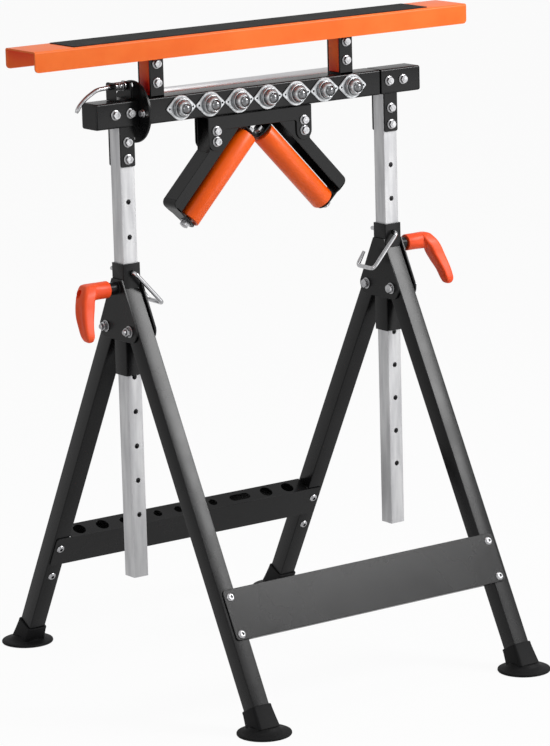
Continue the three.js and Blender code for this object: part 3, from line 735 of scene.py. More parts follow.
def make_leg(pair, side):
    place = leg_frame(pair) @ Matrix.Translation((leg_x(pair, side), 0, 0))
    bm = bmesh.new()
    square_tube(bm, (0, 0), LEG_HALF, LEG_WALL, LEG_CORNER, -LEG_END, LEG_TOP, place)
    slant = bmesh.new()
    stop = PIVOT_Y - SLEEVE_HALF - STOP_GAP
    upright = place @ Matrix.Rotation(LEG_ANGLE, 4, "X")
    block(slant, (-CUT_HALF, CUT_HALF), (stop, CUT_REACH), (-CUT_REACH, CUT_REACH), upright, edge=1)
    piece(
        f"{pair}_leg_tube_{side}", bm, BLACK_COAT, f"{pair}_legs", [f"{pair}_leg_{side}"],
        shape_object("slant", slant))


for pair in PAIRS:
    for side in SIDES:
        make_leg(pair, side)

# %% [markdown]
# ## Feet
# Each leg ends in a rubber boot on a wide disc, moulded as one. The disc has a rolled rim and a shallow
# cone up to the boot, so it is turned. The boot leans with the leg while the disc lies flat, so the boot is
# skinned along the leg's own line and then cut level inside the disc.

# %% Feet
FOOT_Y = 315
FOOT_RADIUS = 40
BOOT_TOP = 577
BOOT_SEAT = 6  # height in the disc at which the slanted boot is cut level
FOOT_RIM = ((0, 2.2), (0.5, 0.8), (1.6, 0), (3, 0), (4.2, 0.6), (4.9, 2), (5.6, 5), (6.2, 9))  # height, inset
FOOT_CONE = ((8, 26), (10, 23.5), (13, 21), (13, 2))  # height, radius
BOOT_HALF = LEG_HALF + 2.8
BOOT_FLARE = BOOT_HALF + 2.5
BOOT_ROOM = LEG_HALF + SEAT_GAP
# Sections up the boot's outside and back down into its mouth: distance down the leg, half size, corner
BOOT_SECTIONS = (
    (LEG_END + 14, BOOT_FLARE, 5), (LEG_END, BOOT_FLARE - 1.2, 5), (BOOT_TOP + 6, BOOT_HALF, 4),
    (BOOT_TOP + 1, BOOT_HALF, 4), (BOOT_TOP, BOOT_HALF - 1, 3.4), (BOOT_TOP, BOOT_ROOM, 2.9),
    (BOOT_TOP + 20, BOOT_ROOM, 2.9))


def cut_level(bm, height):
    """Cut a shape level and close it, keeping what is above."""
    cut = bmesh.ops.bisect_plane(
        bm, geom=bm.verts[:] + bm.edges[:] + bm.faces[:], plane_co=(0, 0, height), plane_no=(0, 0, 1),
        clear_inner=True)
    rim = [e for e in cut["geom_cut"] if isinstance(e, bmesh.types.BMEdge)]
    bmesh.ops.holes_fill(bm, edges=rim)


def make_foot(pair, side):
    x = leg_x(pair, side)
    floor = STAND @ pair_turn(pair) @ Matrix.Translation((x, -FOOT_Y, 0))
    lean = leg_frame(pair) @ Matrix.Translation((x, 0, 0))
    bm = bmesh.new()
    profile = [(height, FOOT_RADIUS - inside) for height, inside in FOOT_RIM] + list(FOOT_CONE)
    turned(bm, "z", profile, (0, 0, 0), floor, sides=48)
    boot = bmesh.new()
    loops(boot, [lift("z", rounded(-h, h, -h, h, corner), -s) for s, h, corner in BOOT_SECTIONS], lean)
    cut_level(boot, BOOT_SEAT * MM)
    bm.from_mesh(mesh_from(boot, "boot"))
    piece(f"{pair}_boot_{side}", bm, FOOT_RUBBER, f"{pair}_legs", [f"{pair}_foot_{side}"])


for pair in PAIRS:
    for side in SIDES:
        make_foot(pair, side)

# %% [markdown]
# ## Front panel and tool tray
# The panel is a folded sheet that ties the front legs. The tray ties the rear legs and has a row of holes
# and slots for hand tools. Both are sheet of one thickness, so each wall is a plate with broken edges,
# which makes the long edges catch the light. The tool holes differ in size and are not evenly spaced, so
# they are drilled from a short list and not from the row tree.

# %% Front panel
SHEET = 2
FOLD = 0.1  # a folded wall starts this far inside the sheet's edge
FOLD_SINK = 1.4  # and this deep in the sheet
PANEL_S = (404, 480)  # from its top to its bottom, down the legs
PANEL_HALF = 249
PANEL_CORNER = 6
PANEL_LIP = 10
PANEL_PLAY = 4  # between the folded edges and the legs


def make_panel():
    place = leg_frame("front")
    face = -LEG_HALF - SEAT_GAP
    low, high = -PANEL_S[1], -PANEL_S[0]
    bm = bmesh.new()
    sheet = rounded(-PANEL_HALF, PANEL_HALF, low, high, PANEL_CORNER, steps=6)
    plate(bm, "y", sheet, face - SHEET, face, place, edge=0.6)
    lip = MAST_X - LEG_HALF - PANEL_PLAY
    for z in ((high - SHEET, high - FOLD), (low + FOLD, low + SHEET)):
        block(bm, (-lip, lip), (face - FOLD_SINK, face + PANEL_LIP), z, place)
    piece("front_spreader", bm, BLACK_COAT, "front_legs", ["front_panel"])


make_panel()

# %% Tool tray
TRAY_S = 397
TRAY_HALF = 252
TRAY_HEIGHT = 52.5
TRAY_DEPTH = 30
TRAY_BACK = 24
TRAY_LIP = 7
TRAY_PLAY = 1.5  # between the tray's walls and the legs
HOLE_ROW = 14.8  # from the tray's outer face to the middle of its holes
# Place along the tray, and radius
TRAY_HOLES = (
    (-203, 10.5), (-160.5, 10.5), (-57, 7.2), (-18, 7.2), (9, 7.2), (48, 7.2), (151.5, 10.5), (193, 10.5))
TRAY_SLOTS = (-109, 100)
SLOT_HALF = 12
SLOT_RADIUS = 7
DRILL_DEPTH = 6


def make_tray():
    place = leg_frame("rear")
    face = LEG_HALF + SEAT_GAP
    back = face + SHEET - TRAY_DEPTH
    inside = MAST_X - LEG_HALF - TRAY_PLAY
    top, bottom = -TRAY_S, -TRAY_S - TRAY_HEIGHT
    middle = face + SHEET - HOLE_ROW
    walls = (
        ((back, face + FOLD_SINK), (top - SHEET, top - FOLD)),
        ((back, back + SHEET), (top - TRAY_BACK, top - 2 * FOLD)),
        ((face - TRAY_LIP, face + FOLD_SINK), (bottom + FOLD, bottom + SHEET)))
    bm = bmesh.new()
    plate(bm, "y", rounded(-TRAY_HALF, TRAY_HALF, bottom, top, 4), face, face + SHEET, place, edge=0.6)
    for y, z in walls:
        block(bm, (-inside, inside), y, z, place)
    holes = bmesh.new()
    low, high = top - DRILL_DEPTH, top + DRILL_DEPTH
    for x, radius in TRAY_HOLES:
        turned(holes, "z", [(low, radius), (high, radius)], (-x, middle, 0), place, sides=28)
    reach = SLOT_HALF + SLOT_RADIUS
    for x in TRAY_SLOTS:
        slot = rounded(
            -x - reach, -x + reach, middle - SLOT_RADIUS, middle + SLOT_RADIUS, SLOT_RADIUS - 0.1, steps=8)
        plate(holes, "z", slot, low, high, place, edge=0.1)
    piece(
        "rear_tool_tray", bm, BLACK_COAT, "rear_legs", ["tool_tray"],
        shape_object("tool_holes", holes))


make_tray()

# %% [markdown]
# ## End blocks
# Each mast carries a short box that the head turns in. It is square tube with a plastic plug in its outer
# end, and two straps welded below it grip the mast. The tube's inside is never seen, so it is a plate of
# full depth, and only the plug is a piece of its own, because it has another finish and a softer edge.

# %% End blocks
BLOCK_ENDS = (221.5, 296)
BOX_CORNER = 3
STRAP = 3
STRAP_PLAY = 0.4
STRAP_LOW = 786
STRAP_WELD = 4  # how far a strap reaches up over the box
PLUG_DEPTH = 2.3
PLUG_INSET = 0.4


def box_outline(half, corner):
    """A square section about the head's axis."""
    return rounded(-half, half, AXIS_Z - half, AXIS_Z + half, corner, steps=5)


def make_end_block(side):
    place = side_frame(side)
    low, high = BLOCK_ENDS
    bm = bmesh.new()
    plate(bm, "x", box_outline(BEAM_HALF, BOX_CORNER), low, high - PLUG_DEPTH + 0.1, place, edge=0.6)
    near = MAST_HALF + STRAP_PLAY
    strap = rounded(MAST_X - MAST_HALF, MAST_X + MAST_HALF, STRAP_LOW, AXIS_Z - BEAM_HALF + STRAP_WELD, 3)
    for y0 in (-near - STRAP, near):
        plate(bm, "y", strap, y0, y0 + STRAP, place, edge=0.6)
    piece(f"end_box_{side}", bm, BLACK_COAT, "masts", [f"end_block_{side}"])
    plug = bmesh.new()
    outline = box_outline(BEAM_HALF - PLUG_INSET, BOX_CORNER + PLUG_INSET)
    plate(plug, "x", outline, high - PLUG_DEPTH, high, place, edge=0.9)
    piece(f"end_plug_{side}", plug, PLUG_PLASTIC, "masts")


for side in SIDES:
    make_end_block(side)

# %% [markdown]
# ## The beam and its brackets
# The head is built on one square tube that turns on two stub axles. Two U-shaped brackets stand on it for
# the channel's posts, and two ears behind it carry the long roller. The brackets are welded on, so they are
# shells of the beam's own piece, while the ears are parts of their own on the stand and so are pieces here.

# %% Beam
BEAM_ENDS = (-213, 218.5)
STUB_END = 245
STUB_RADIUS = 8
POST_HALF = 12.5
BRACKET_HALF = 12
BRACKET_TOP = 946


def make_beam():
    low, high = BEAM_ENDS
    top = AXIS_Z + BEAM_HALF
    bm = bmesh.new()
    plate(bm, "x", box_outline(BEAM_HALF, BOX_CORNER), low, high, STAND, edge=0.7)
    for start, end in ((-STUB_END, low + 1), (high - 1, STUB_END)):
        stub = [(start, STUB_RADIUS - 1), (start + 1, STUB_RADIUS), (end, STUB_RADIUS)]
        turned(bm, "x", stub, (0, 0, AXIS_Z), STAND, sides=24)
    near = POST_HALF + STRAP_PLAY
    out = near + STRAP
    for x in POST_X:
        x0, x1 = x - BRACKET_HALF, x + BRACKET_HALF
        block(bm, (x0, x1), (-out, out), (top - 1, top + STRAP), STAND, edge=0.7)
        cheek = rounded(x0, x1, top - 1, BRACKET_TOP, 2.5)
        for y0 in (-out, near):
            plate(bm, "y", cheek, y0, y0 + STRAP, STAND, edge=0.6)
    piece("head_tube", bm, BLACK_COAT, "head", ["head_beam"])


make_beam()

# %% Roller ears
EAR_SHEET = 3
EAR_GAP = 2  # between the roller's end and the ear
EAR_FOOT = 18
EAR_RADIUS = 14


def make_roller_ear(side, x):
    outwards = SIDES[side]
    rear = BEAM_HALF + SEAT_GAP
    low, high = AXIS_Z - EAR_RADIUS, AXIS_Z + EAR_RADIUS
    outline = [(rear, low)] + arc(ROLLER_Y, AXIS_Z, EAR_RADIUS, -90, 90, 14) + [(rear, high)]
    bm = bmesh.new()
    plate(bm, "x", outline, *sorted((x, x + EAR_SHEET * outwards)), STAND, edge=0.6)
    foot = sorted((x, x + EAR_FOOT * outwards))
    block(bm, foot, (rear, rear + EAR_SHEET), (low, high), STAND, edge=0.7)
    piece(f"roller_ear_{side}", bm, BLACK_COAT, "head", [f"roller_bracket_{side}"])


make_roller_ear("left", ROLLER_ENDS[0] - EAR_GAP)
make_roller_ear("right", ROLLER_ENDS[1] + EAR_GAP)

# %% [markdown]
# ## The channel and its posts
# The flat support is a sheet folded into a wide U, open side down, on two square posts. Its section could
# be swept in one stretch, but the flanges' lower corners are rounded at both ends, so the section is
# skinned through several places there, with its flanges shorter each time. A strip of anti-slip tape runs
# along its top.

# %% Channel
CHANNEL_ENDS = (-408, 372)
CHANNEL_HALF = 39
CHANNEL_Z = (941, 970.9)
CHANNEL_SHEET = 2.5
CHANNEL_BEND = 3.2
FLANGE_CORNER = 6
CORNER_STEPS = 6
POST_WALL = 2
POST_CORNER = 2.2
POST_DROP = 2  # from the channel's top face to the posts' upper ends
STRIP_X = (-338, 302)
STRIP_HALF = 32.5
STRIP_LIFT = 0.05
STRIP = 1.2


def channel_section(shorter):
    """The folded sheet cut across, with its flanges shortened."""
    w, r = CHANNEL_HALF, CHANNEL_BEND
    low, bend = CHANNEL_Z[0] + shorter, CHANNEL_Z[1] - r
    t = CHANNEL_SHEET
    outer = [(w, low)] + arc(w - r, bend, r, 0, 90, 5) + arc(r - w, bend, r, 90, 180, 5) + [(-w, low)]
    inner = ([(t - w, low)] + arc(r - w, bend, r - t, 180, 90, 3) + arc(w - r, bend, r - t, 90, 0, 3)
             + [(w - t, low)])
    return outer + inner


def make_channel():
    start, end = CHANNEL_ENDS
    turns = [k * math.pi / 2 / CORNER_STEPS for k in range(CORNER_STEPS + 1)]
    corner = [(FLANGE_CORNER * (1 - math.cos(t)), FLANGE_CORNER * (1 - math.sin(t))) for t in turns]
    places = [(start + along, shorter) for along, shorter in corner]
    places += [(end - along, shorter) for along, shorter in reversed(corner)]
    bm = bmesh.new()
    loops(bm, [lift("x", channel_section(shorter), x) for x, shorter in places], STAND)
    foot = AXIS_Z + BEAM_HALF + STRAP + SEAT_GAP
    for x in POST_X:
        square_tube(bm, (x, 0), POST_HALF, POST_WALL, POST_CORNER, foot, CHANNEL_Z[1] - POST_DROP, STAND)
    piece("flat_channel", bm, ORANGE_COAT, "head", ["top_channel"])
    strip = bmesh.new()
    top = CHANNEL_Z[1] + STRIP_LIFT
    outline = rounded(*STRIP_X, -STRIP_HALF, STRIP_HALF, 2, steps=3)
    plate(strip, "z", outline, top, top + STRIP, STAND, edge=0.3)
    piece("anti_slip_strip", strip, GRIT_TAPE, "head", ["grip_strip"])


make_channel()

# %% [markdown]
# ## Rollers and axles
# The long roller is steel tube with pressed-in end caps, and the vee rollers are plastic tubes. Each turns
# on a plain axle. A cylinder with a Bevel modifier would look close, but the caps sit a little inside the
# tube, and a lathe profile gives the cap, the rim and the rounded shoulder in one go.

# %% Rollers
ROLLER_RADIUS = 22.5
VEE_RADIUS = 17.5
VEE_PLAY = 0.5  # between the arm's tab and the roller's end
AXLE_RADIUS = 5
LONG_AXLE = (ROLLER_ENDS[0] - 12, ROLLER_ENDS[1] + 13)
VEE_AXLE = (-12, VEE_LENGTH + 14)


def roller_profile(x0, x1, radius, wall, shoulder):
    """From one bore to the other over the outside: end cap, rim and rounded shoulder, then the same back."""
    bore, inside, s = AXLE_RADIUS + 0.1, radius - wall, shoulder
    cap = [(3, bore), (1.5, bore), (1.5, 9), (2.5, 10), (2.5, inside - 0.8)]
    rim = [(0.2, inside), (0, inside + 0.4), (0, radius - s), (0.3 * s, radius - 0.3 * s), (s, radius)]
    near = [(x0 + along, r) for along, r in cap + rim]
    far = [(x0 + x1 - x, r) for x, r in reversed(near)]
    return near + far


def make_axle(name, ends, origin, place, stands_for):
    x0, x1 = ends
    bm = bmesh.new()
    profile = [(x0, AXLE_RADIUS - 1), (x0 + 1, AXLE_RADIUS), (x1 - 1, AXLE_RADIUS), (x1, AXLE_RADIUS - 1)]
    turned(bm, "x", profile, origin, place, sides=24)
    piece(name, bm, BOLT_ZINC, "head", [stands_for])


def make_long_roller():
    origin = (0, ROLLER_Y, AXIS_Z)
    bm = bmesh.new()
    profile = roller_profile(*ROLLER_ENDS, ROLLER_RADIUS, wall=2, shoulder=1.4)
    turned(bm, "x", profile, origin, STAND, sides=64)
    piece("long_steel_roller", bm, DRAWN_STEEL, "steel_roller", ["steel_roller"])
    make_axle("long_roller_axle", LONG_AXLE, origin, STAND, "roller_axle")


def make_vee_roller(side):
    place = arm_frame(side)
    body = f"vee_roller_{side}"
    bm = bmesh.new()
    profile = roller_profile(VEE_PLAY, VEE_LENGTH + VEE_PLAY, VEE_RADIUS, wall=3.4, shoulder=1.6)
    turned(bm, "x", profile, (0, 0, 0), place, sides=64)
    piece(f"vee_tube_{side}", bm, ROLLER_PLASTIC, body, [body])
    make_axle(f"vee_rod_{side}", VEE_AXLE, (0, 0, 0), place, f"vee_axle_{side}")


make_long_roller()
for side in SIDES:
    make_vee_roller(side)

# %% [markdown]
# ## Vee yoke and arms
# The yoke is a folded plate under the beam whose cheeks end in round lobes. Two arms, each a folded channel
# with a tab at either end for the roller's axle, are bolted between the cheeks. Solidify could thicken a
# bent sheet, but the cheeks, webs and tabs have different outlines, so each is a plate, and the arm's bend
# is a quarter ring between two of them.

# %% Yoke
CHEEK = (16.4, 18.4)
YOKE_HALF = 94
LOBE = (80, 806, 14)  # x, z and radius
ARCH_Z = 823
ARCH_CORNER = 4


def make_yoke():
    place = STAND @ Matrix.Translation((VEE_X, 0, 0))
    top = AXIS_Z - BEAM_HALF - SEAT_GAP
    x, z, r = LOBE
    c = ARCH_CORNER
    outline = (arc(x, z, r, 180, 360, 14) + [(YOKE_HALF, top), (-YOKE_HALF, top)]
               + arc(-x, z, r, 180, 360, 14)
               + arc(r - x + c, ARCH_Z - c, c, 180, 90, 4) + arc(x - r - c, ARCH_Z - c, c, 90, 0, 4))
    bm = bmesh.new()
    block(bm, (-YOKE_HALF, YOKE_HALF), (-CHEEK[1], CHEEK[1]), (top - SHEET, top), place, edge=0.6)
    for y0, y1 in (CHEEK, (-CHEEK[1], -CHEEK[0])):
        plate(bm, "y", outline, y0, y1, place)
    piece("vee_saddle", bm, BLACK_COAT, "head", ["vee_yoke"])


make_yoke()

# %% Arms
ARM_HALF = 16
ARM_SHEET = 2
ARM_START = -5
ARM_END = VEE_LENGTH + 6
ARM_LIP = 26
ARM_BACK = 45
ARM_BEND = 9
ARM_TOP = ((92, 792.8), (92, 838), (39, 838))  # corners inside the yoke, as x and z from its middle
WEB_START = 67
TAB = 2.5
TAB_RADIUS = 13.5
TAB_SHOULDER = 6


def along_arm(x, z):
    """A point under the yoke in the arm's own x and z."""
    dx, dz = x - VEE_START[0], z - VEE_START[1]
    c, s = math.cos(VEE_TILT), math.sin(VEE_TILT)
    return dx * c - dz * s, dx * s + dz * c


def tab_outline():
    r, low, high = TAB_RADIUS, ARM_LIP - TAB_SHOULDER, ARM_BACK - ARM_BEND
    return ([(-ARM_HALF, ARM_LIP), (-r, low)] + arc(0, 0, r, 180, 360, 16)
            + [(r, low), (ARM_HALF, ARM_LIP), (ARM_HALF, high), (-ARM_HALF, high)])


def make_arm(side):
    place = arm_frame(side)
    bend = (ARM_END - ARM_BEND, ARM_BACK - ARM_BEND)
    outer = arc(*bend, ARM_BEND, 0, 90, 6)
    inner = arc(*bend, ARM_BEND - ARM_SHEET, 90, 0, 6)
    bm = bmesh.new()
    web_side = ([(ARM_START, ARM_LIP), (ARM_END, ARM_LIP), (ARM_END, bend[1])] + outer
                + [along_arm(*corner) for corner in ARM_TOP])
    for y0 in (-ARM_HALF, ARM_HALF - ARM_SHEET):
        plate(bm, "y", web_side, y0, y0 + ARM_SHEET, place)
    wide = ARM_HALF - 0.1
    block(bm, (WEB_START, bend[0]), (-wide, wide), (ARM_BACK - ARM_SHEET, ARM_BACK), place, edge=0.6)
    wide = ARM_HALF - 0.2
    plate(bm, "y", outer + inner, -wide, wide, place, edge=0.2)
    for x0 in (ARM_START, ARM_END - TAB):
        plate(bm, "x", tab_outline(), x0, x0 + TAB, place)
    piece(f"vee_channel_{side}", bm, BLACK_COAT, "head", [f"vee_arm_{side}"])


for side in SIDES:
    make_arm(side)

# %% [markdown]
# ## Ball transfers
# Seven ball transfers stand in the beam's front face. Each is a pressed diamond flange with a stepped dome
# that keeps a polished ball. The cups are all alike and ride together, so one is turned here and the row
# tree sets it along the beam. The balls each turn on their own, so they are seven pieces.

# %% Ball cups
BALL_COUNT = 7
BALL_PITCH = 52.2
BALL_MIDDLE = 8.3
FIRST_BALL = BALL_MIDDLE - (BALL_COUNT - 1) / 2 * BALL_PITCH
CUP_FACE = -BEAM_HALF - SEAT_GAP
CUP_SHEET = 2
CUP_TIP = (22.8, 3)  # the diamond's corner: distance and radius
CUP_WAIST = 18.6
CUP_HOLE_X = 20.8
CUP_HOLE = 1.6
# Rings of the dome from the flange inwards: height and radius
CUP_COLLAR = ((0.8, 15.6), (1.9, 14.6), (6.4, 14.3), (7.4, 13.8), (7.7, 13.2), (6.9, 12.5), (7.0, 12.1))
CUP_DOME = ((10.5, 11.9), (12.4, 11.5), (14.2, 10.6), (15.3, 9.8), (15.7, 9.3), (15.6, 9.0), (14.2, 8.7))
CUP_MOUTH = ((15.4, 8.3), (15.6, 7.9), (15.0, 7.6), (13.6, 8.2), (9, 8.3), (4, 8.3))


def make_cup_shape():
    bm = bmesh.new()
    tip, tip_r = CUP_TIP
    bulge = math.degrees(math.acos((CUP_WAIST - tip_r) / tip))
    outline = (arc(tip, 0, tip_r, -bulge, bulge, 6) + arc(0, 0, CUP_WAIST, bulge, 180 - bulge, 12)
               + arc(-tip, 0, tip_r, 180 - bulge, 180 + bulge, 6)
               + arc(0, 0, CUP_WAIST, 180 + bulge, 360 - bulge, 12))
    plate(bm, "y", outline, CUP_FACE - CUP_SHEET, CUP_FACE, UNIT, edge=0.8)
    profile = [(CUP_FACE - height, r) for height, r in CUP_COLLAR + CUP_DOME + CUP_MOUTH]
    turned(bm, "y", profile, (0, 0, 0), UNIT, sides=48)
    shape = shape_object("cup_shape", bm)
    holes = bmesh.new()
    for x in (-CUP_HOLE_X, CUP_HOLE_X):
        turned(holes, "y", [(-BEAM_HALF - 4, CUP_HOLE), (-BEAM_HALF, CUP_HOLE)], (x, 0, 0), UNIT, sides=16)
    cut_away(shape, shape_object("rivet_holes", holes))
    return shape


def make_ball_cups():
    row = grown(
        "ball_cups", ROW, make_cup_shape(), Count=BALL_COUNT, First=STAND @ Vector((FIRST_BALL, 0, AXIS_Z)),
        Pitch=(BALL_PITCH * MM, 0, 0), Finish=CUP_ZINC)
    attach(row, "head")
    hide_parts(*[f"ball_cup_{i + 1}" for i in range(BALL_COUNT)])
    print("ball cups", len(row.data.polygons), "faces")


make_ball_cups()

# %% Balls
BALL_RADIUS = 7.9
BALL_Y = -31.5
BALL_STEPS = 24
POLE = 0.02  # share of a step left open at each pole, which the end face closes


def make_ball(number):
    turns = [math.pi * (k + POLE) / (BALL_STEPS + 2 * POLE) for k in range(BALL_STEPS + 1)]
    profile = [(-BALL_RADIUS * math.cos(t), BALL_RADIUS * math.sin(t)) for t in turns]
    bm = bmesh.new()
    turned(bm, "y", profile, (FIRST_BALL + (number - 1) * BALL_PITCH, BALL_Y, AXIS_Z), STAND, sides=40)
    body = f"ball_{number}"
    piece(f"transfer_{body}", bm, BALL_STEEL, body, [body])


for number in range(1, BALL_COUNT + 1):
    make_ball(number)

# %% [markdown]
# ## Index disc, pin and spring
# A disc on the beam's left end has a hole for each quarter turn. A spring-loaded pin in a small bracket on
# the left end box drops into one of them, and its bent rod is the pull. The spring could be a picture of
# rings, but it shortens when the pin is pulled, so it is a real coil carried along a helix.

# %% Index disc and bracket
DISC_X = (-221, -217)
DISC_RADIUS = 45.7
DISC_BORE = 9
DISC_HUB = -213.4
INDEX_REACH = 39  # from the head's axis to the index holes
INDEX_HOLE = 4.5
INDEX_Z = AXIS_Z + INDEX_REACH
LUG_X = (-257, -231)
LUG = 2.5
LUG_HALF = 12.5
LUG_BORE = 4.4
LUG_TOP = INDEX_Z + 6.5


def make_index_disc():
    x0, x1 = DISC_X
    r = DISC_RADIUS
    rim = [(x0, DISC_BORE), (x0, r - 0.8), (x0 + 0.6, r), (x1 - 0.6, r), (x1, r - 0.8)]
    hub = [(x1, 17.5), (x1 + 0.4, 17), (DISC_HUB - 0.2, 16.6), (DISC_HUB, 16), (DISC_HUB, DISC_BORE)]
    bm = bmesh.new()
    turned(bm, "x", rim + hub, (0, 0, AXIS_Z), STAND, sides=72)
    holes = bmesh.new()
    for quarter in range(4):
        spin = quarter * math.pi / 2
        y, z = INDEX_REACH * math.cos(spin), INDEX_REACH * math.sin(spin)
        turned(holes, "x", [(-240, INDEX_HOLE), (-200, INDEX_HOLE)], (0, y, AXIS_Z + z), STAND, sides=24)
    piece(
        "index_plate", bm, BLACK_COAT, "head", ["index_disc"],
        shape_object("index_holes", holes))


def make_index_bracket():
    base = AXIS_Z + BEAM_HALF + SEAT_GAP
    bm = bmesh.new()
    block(bm, (LUG_X[0], LUG_X[1] + LUG), (-LUG_HALF, LUG_HALF), (base, base + LUG), STAND, edge=0.6)
    for x in LUG_X:
        plate(bm, "x", rounded(-LUG_HALF, LUG_HALF, base, LUG_TOP, 4, steps=5), x, x + LUG, STAND)
    bore = bmesh.new()
    turned(bore, "x", [(-270, LUG_BORE), (-220, LUG_BORE)], (0, 0, INDEX_Z), STAND, sides=24)
    piece(
        "index_saddle", bm, BLACK_COAT, "masts", ["index_bracket"],
        shape_object("bore", bore))


make_index_disc()
make_index_bracket()

# %% Index pin and spring
PIN_SHANK = ((-262, 4), (-223.5, 4), (-221.6, 2.6))
PIN_COLLAR = ((-236, 6), (-235.5, 7), (-233.9, 7), (-233.4, 6))
PULL_BENDS = ((-258, 0), (-281, -1.5), (-299, -11), (-312, -22), (-317, -31))  # x, and z from the pin's line
ROD_RADIUS = 3.2
COIL_ENDS = (-254.1, -236.4)
COIL_RADIUS = 5.8
COIL_WIRE = 0.65
COIL_CURLS = 6
CURL_STEPS = 28


def rod_radii(path, tip):
    """The rod's radius at each point of its path, smaller at the tip."""
    return [ROD_RADIUS] * (len(path) - 1) + [tip]


def make_index_pin():
    bm = bmesh.new()
    turned(bm, "x", PIN_SHANK, (0, 0, INDEX_Z), STAND, sides=24)
    turned(bm, "x", PIN_COLLAR, (0, 0, INDEX_Z), STAND, sides=24)
    path = eased([(x, 0, INDEX_Z + z) for x, z in PULL_BENDS], ease=6, steps=6)
    run(bm, path, rod_radii(path, tip=2.2), STAND, sides=20)
    piece("index_plunger", bm, BOLT_ZINC, "index_pin", ["index_pin"])


def make_index_spring():
    low, high = COIL_ENDS[0] + COIL_WIRE, COIL_ENDS[1] - COIL_WIRE
    count = COIL_CURLS * CURL_STEPS
    path = []
    for i in range(count + 1):
        t = 2 * math.pi * i / CURL_STEPS
        x = low + (high - low) * i / count
        path.append((x, COIL_RADIUS * math.cos(t), INDEX_Z + COIL_RADIUS * math.sin(t)))
    bm = bmesh.new()
    run(bm, path, [COIL_WIRE] * len(path), STAND, sides=10)
    spring = piece("index_coil", bm, WIRE_CHROME, "masts", ["index_spring"])
    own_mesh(spring)


make_index_pin()
make_index_spring()

# %% [markdown]
# ## Clamp levers
# An orange lever turns a clamp screw against each mast. Its round hub grows square towards the elbow, and
# the grip sweeps down and forward with a finger groove on its outer side. Sculpting would give such a shape
# too, but level sections can be measured on the object one by one, so the grip and the hub are skinned
# through rounded squares, and the screw's recess is cut into the elbow.

# %% Clamp levers
# Level sections of the grip: middle x, y, z, half width along x, half depth along y
GRIP = (
    (309.8, -1.5, 618.8, 8, 9), (310.9, -2.4, 616, 9.7, 11.1), (315.1, -6.3, 608, 11.4, 13.1),
    (320.3, -10.2, 598, 10.8, 13), (323.2, -13, 588, 10.6, 13.4), (327, -18, 576, 9.7, 13),
    (330.2, -25, 563, 8.4, 11.4), (331.5, -30.9, 550, 7.2, 10), (331.3, -32.4, 543.5, 5, 6.7))
GRIP_SQUARENESS = 5  # power of the section's rounded square: 2 would be an ellipse
GRIP_STEPS = 5
GROOVE = (597, 556, 1.5)  # the finger groove's top, bottom and depth
GROOVE_FADE = 8
GROOVE_WIDTH = 0.55  # share of the grip's depth
TIP_SHARE = 0.55  # size of the rounded tip's last section, next to the one above it
TIP_DROP = (0.8, 1.6)  # and how far it lies forward and down from it
# Sections of the hub along x, from the round end to the square elbow: x, y, half size, squareness
HUB = (
    (275, 0, 11.2, 2), (275.4, 0, 12.1, 2), (276.4, 0, 12.6, 2), (292, 0, 12.6, 2), (299, -0.3, 12.6, 2.3),
    (305, -0.8, 12.5, 2.9), (311, -1.4, 12.3, 3.8), (315.5, -1.8, 11.7, 4.2), (318, -2, 10.6, 4.2),
    (319, -2, 9.2, 4))
RECESS = (316, 346)
RECESS_RADIUS = 6.3
RECESS_MIDDLE = (0, -1, CLAMP_Z - 0.5)
CLAMP_SCREW = ((254, 4), (255, 5), (299, 5), (300, 4))


def between(points, steps):
    """Points along a smooth curve through the given ones."""
    rows = [Vector(p) for p in points]
    path = []
    for i in range(len(rows) - 1):
        p0, p1, p2, p3 = (rows[max(i - 1, 0)], rows[i], rows[i + 1], rows[min(i + 2, len(rows) - 1)])
        for k in range(steps):
            t = k / steps
            path.append(0.5 * (2 * p1 + (p2 - p0) * t + (2 * p0 - 5 * p1 + 4 * p2 - p3) * t ** 2
                               + (3 * p1 - p0 - 3 * p2 + p3) * t ** 3))
    return path + [rows[-1]]


def squared(a, b, squareness, sides=40):
    """Points of a rounded rectangle with half sizes a and b."""
    power = 2 / squareness
    points = []
    for i in range(sides):
        t = 2 * math.pi * (i + 0.5) / sides
        c, s = math.cos(t), math.sin(t)
        points.append((a * math.copysign(abs(c) ** power, c), b * math.copysign(abs(s) ** power, s)))
    return points


def grip_ring(section):
    x, y, z, a, b = section
    top, bottom, depth = GROOVE
    along = max(0.0, min(1.0, (top - z) / GROOVE_FADE, (z - bottom) / GROOVE_FADE))
    points = []
    for u, v in squared(a, b, GRIP_SQUARENESS):
        dip = max(0.0, 1 - (v / (GROOVE_WIDTH * b)) ** 2) if u > 0 else 0.0
        points.append((x + u - depth * along * dip, y + v, z))
    return points


def hub_ring(section):
    x, y, half, squareness = section
    return lift("x", [(y + u, CLAMP_Z + v) for u, v in squared(half, half, squareness)], x)


def make_lever(side):
    place = side_frame(side)
    body = f"clamp_{side}"
    x, y, z, a, b = GRIP[-1]
    tip = (x, y - TIP_DROP[0], z - TIP_DROP[1], TIP_SHARE * a, TIP_SHARE * b)
    bm = bmesh.new()
    loops(bm, [grip_ring(section) for section in between(GRIP, GRIP_STEPS) + [tip]], place)
    loops(bm, [hub_ring(section) for section in HUB], place)
    recess = bmesh.new()
    turned(recess, "x", [(x, RECESS_RADIUS) for x in RECESS], RECESS_MIDDLE, place, sides=28)
    piece(
        f"lever_grip_{side}", bm, LEVER_PLASTIC, body, [f"clamp_lever_{side}"],
        shape_object("recess", recess))
    screw = bmesh.new()
    turned(screw, "x", CLAMP_SCREW, (0, 0, CLAMP_Z), place, sides=24)
    piece(f"clamp_thread_{side}", screw, BOLT_ZINC, body, [f"clamp_screw_{side}"])


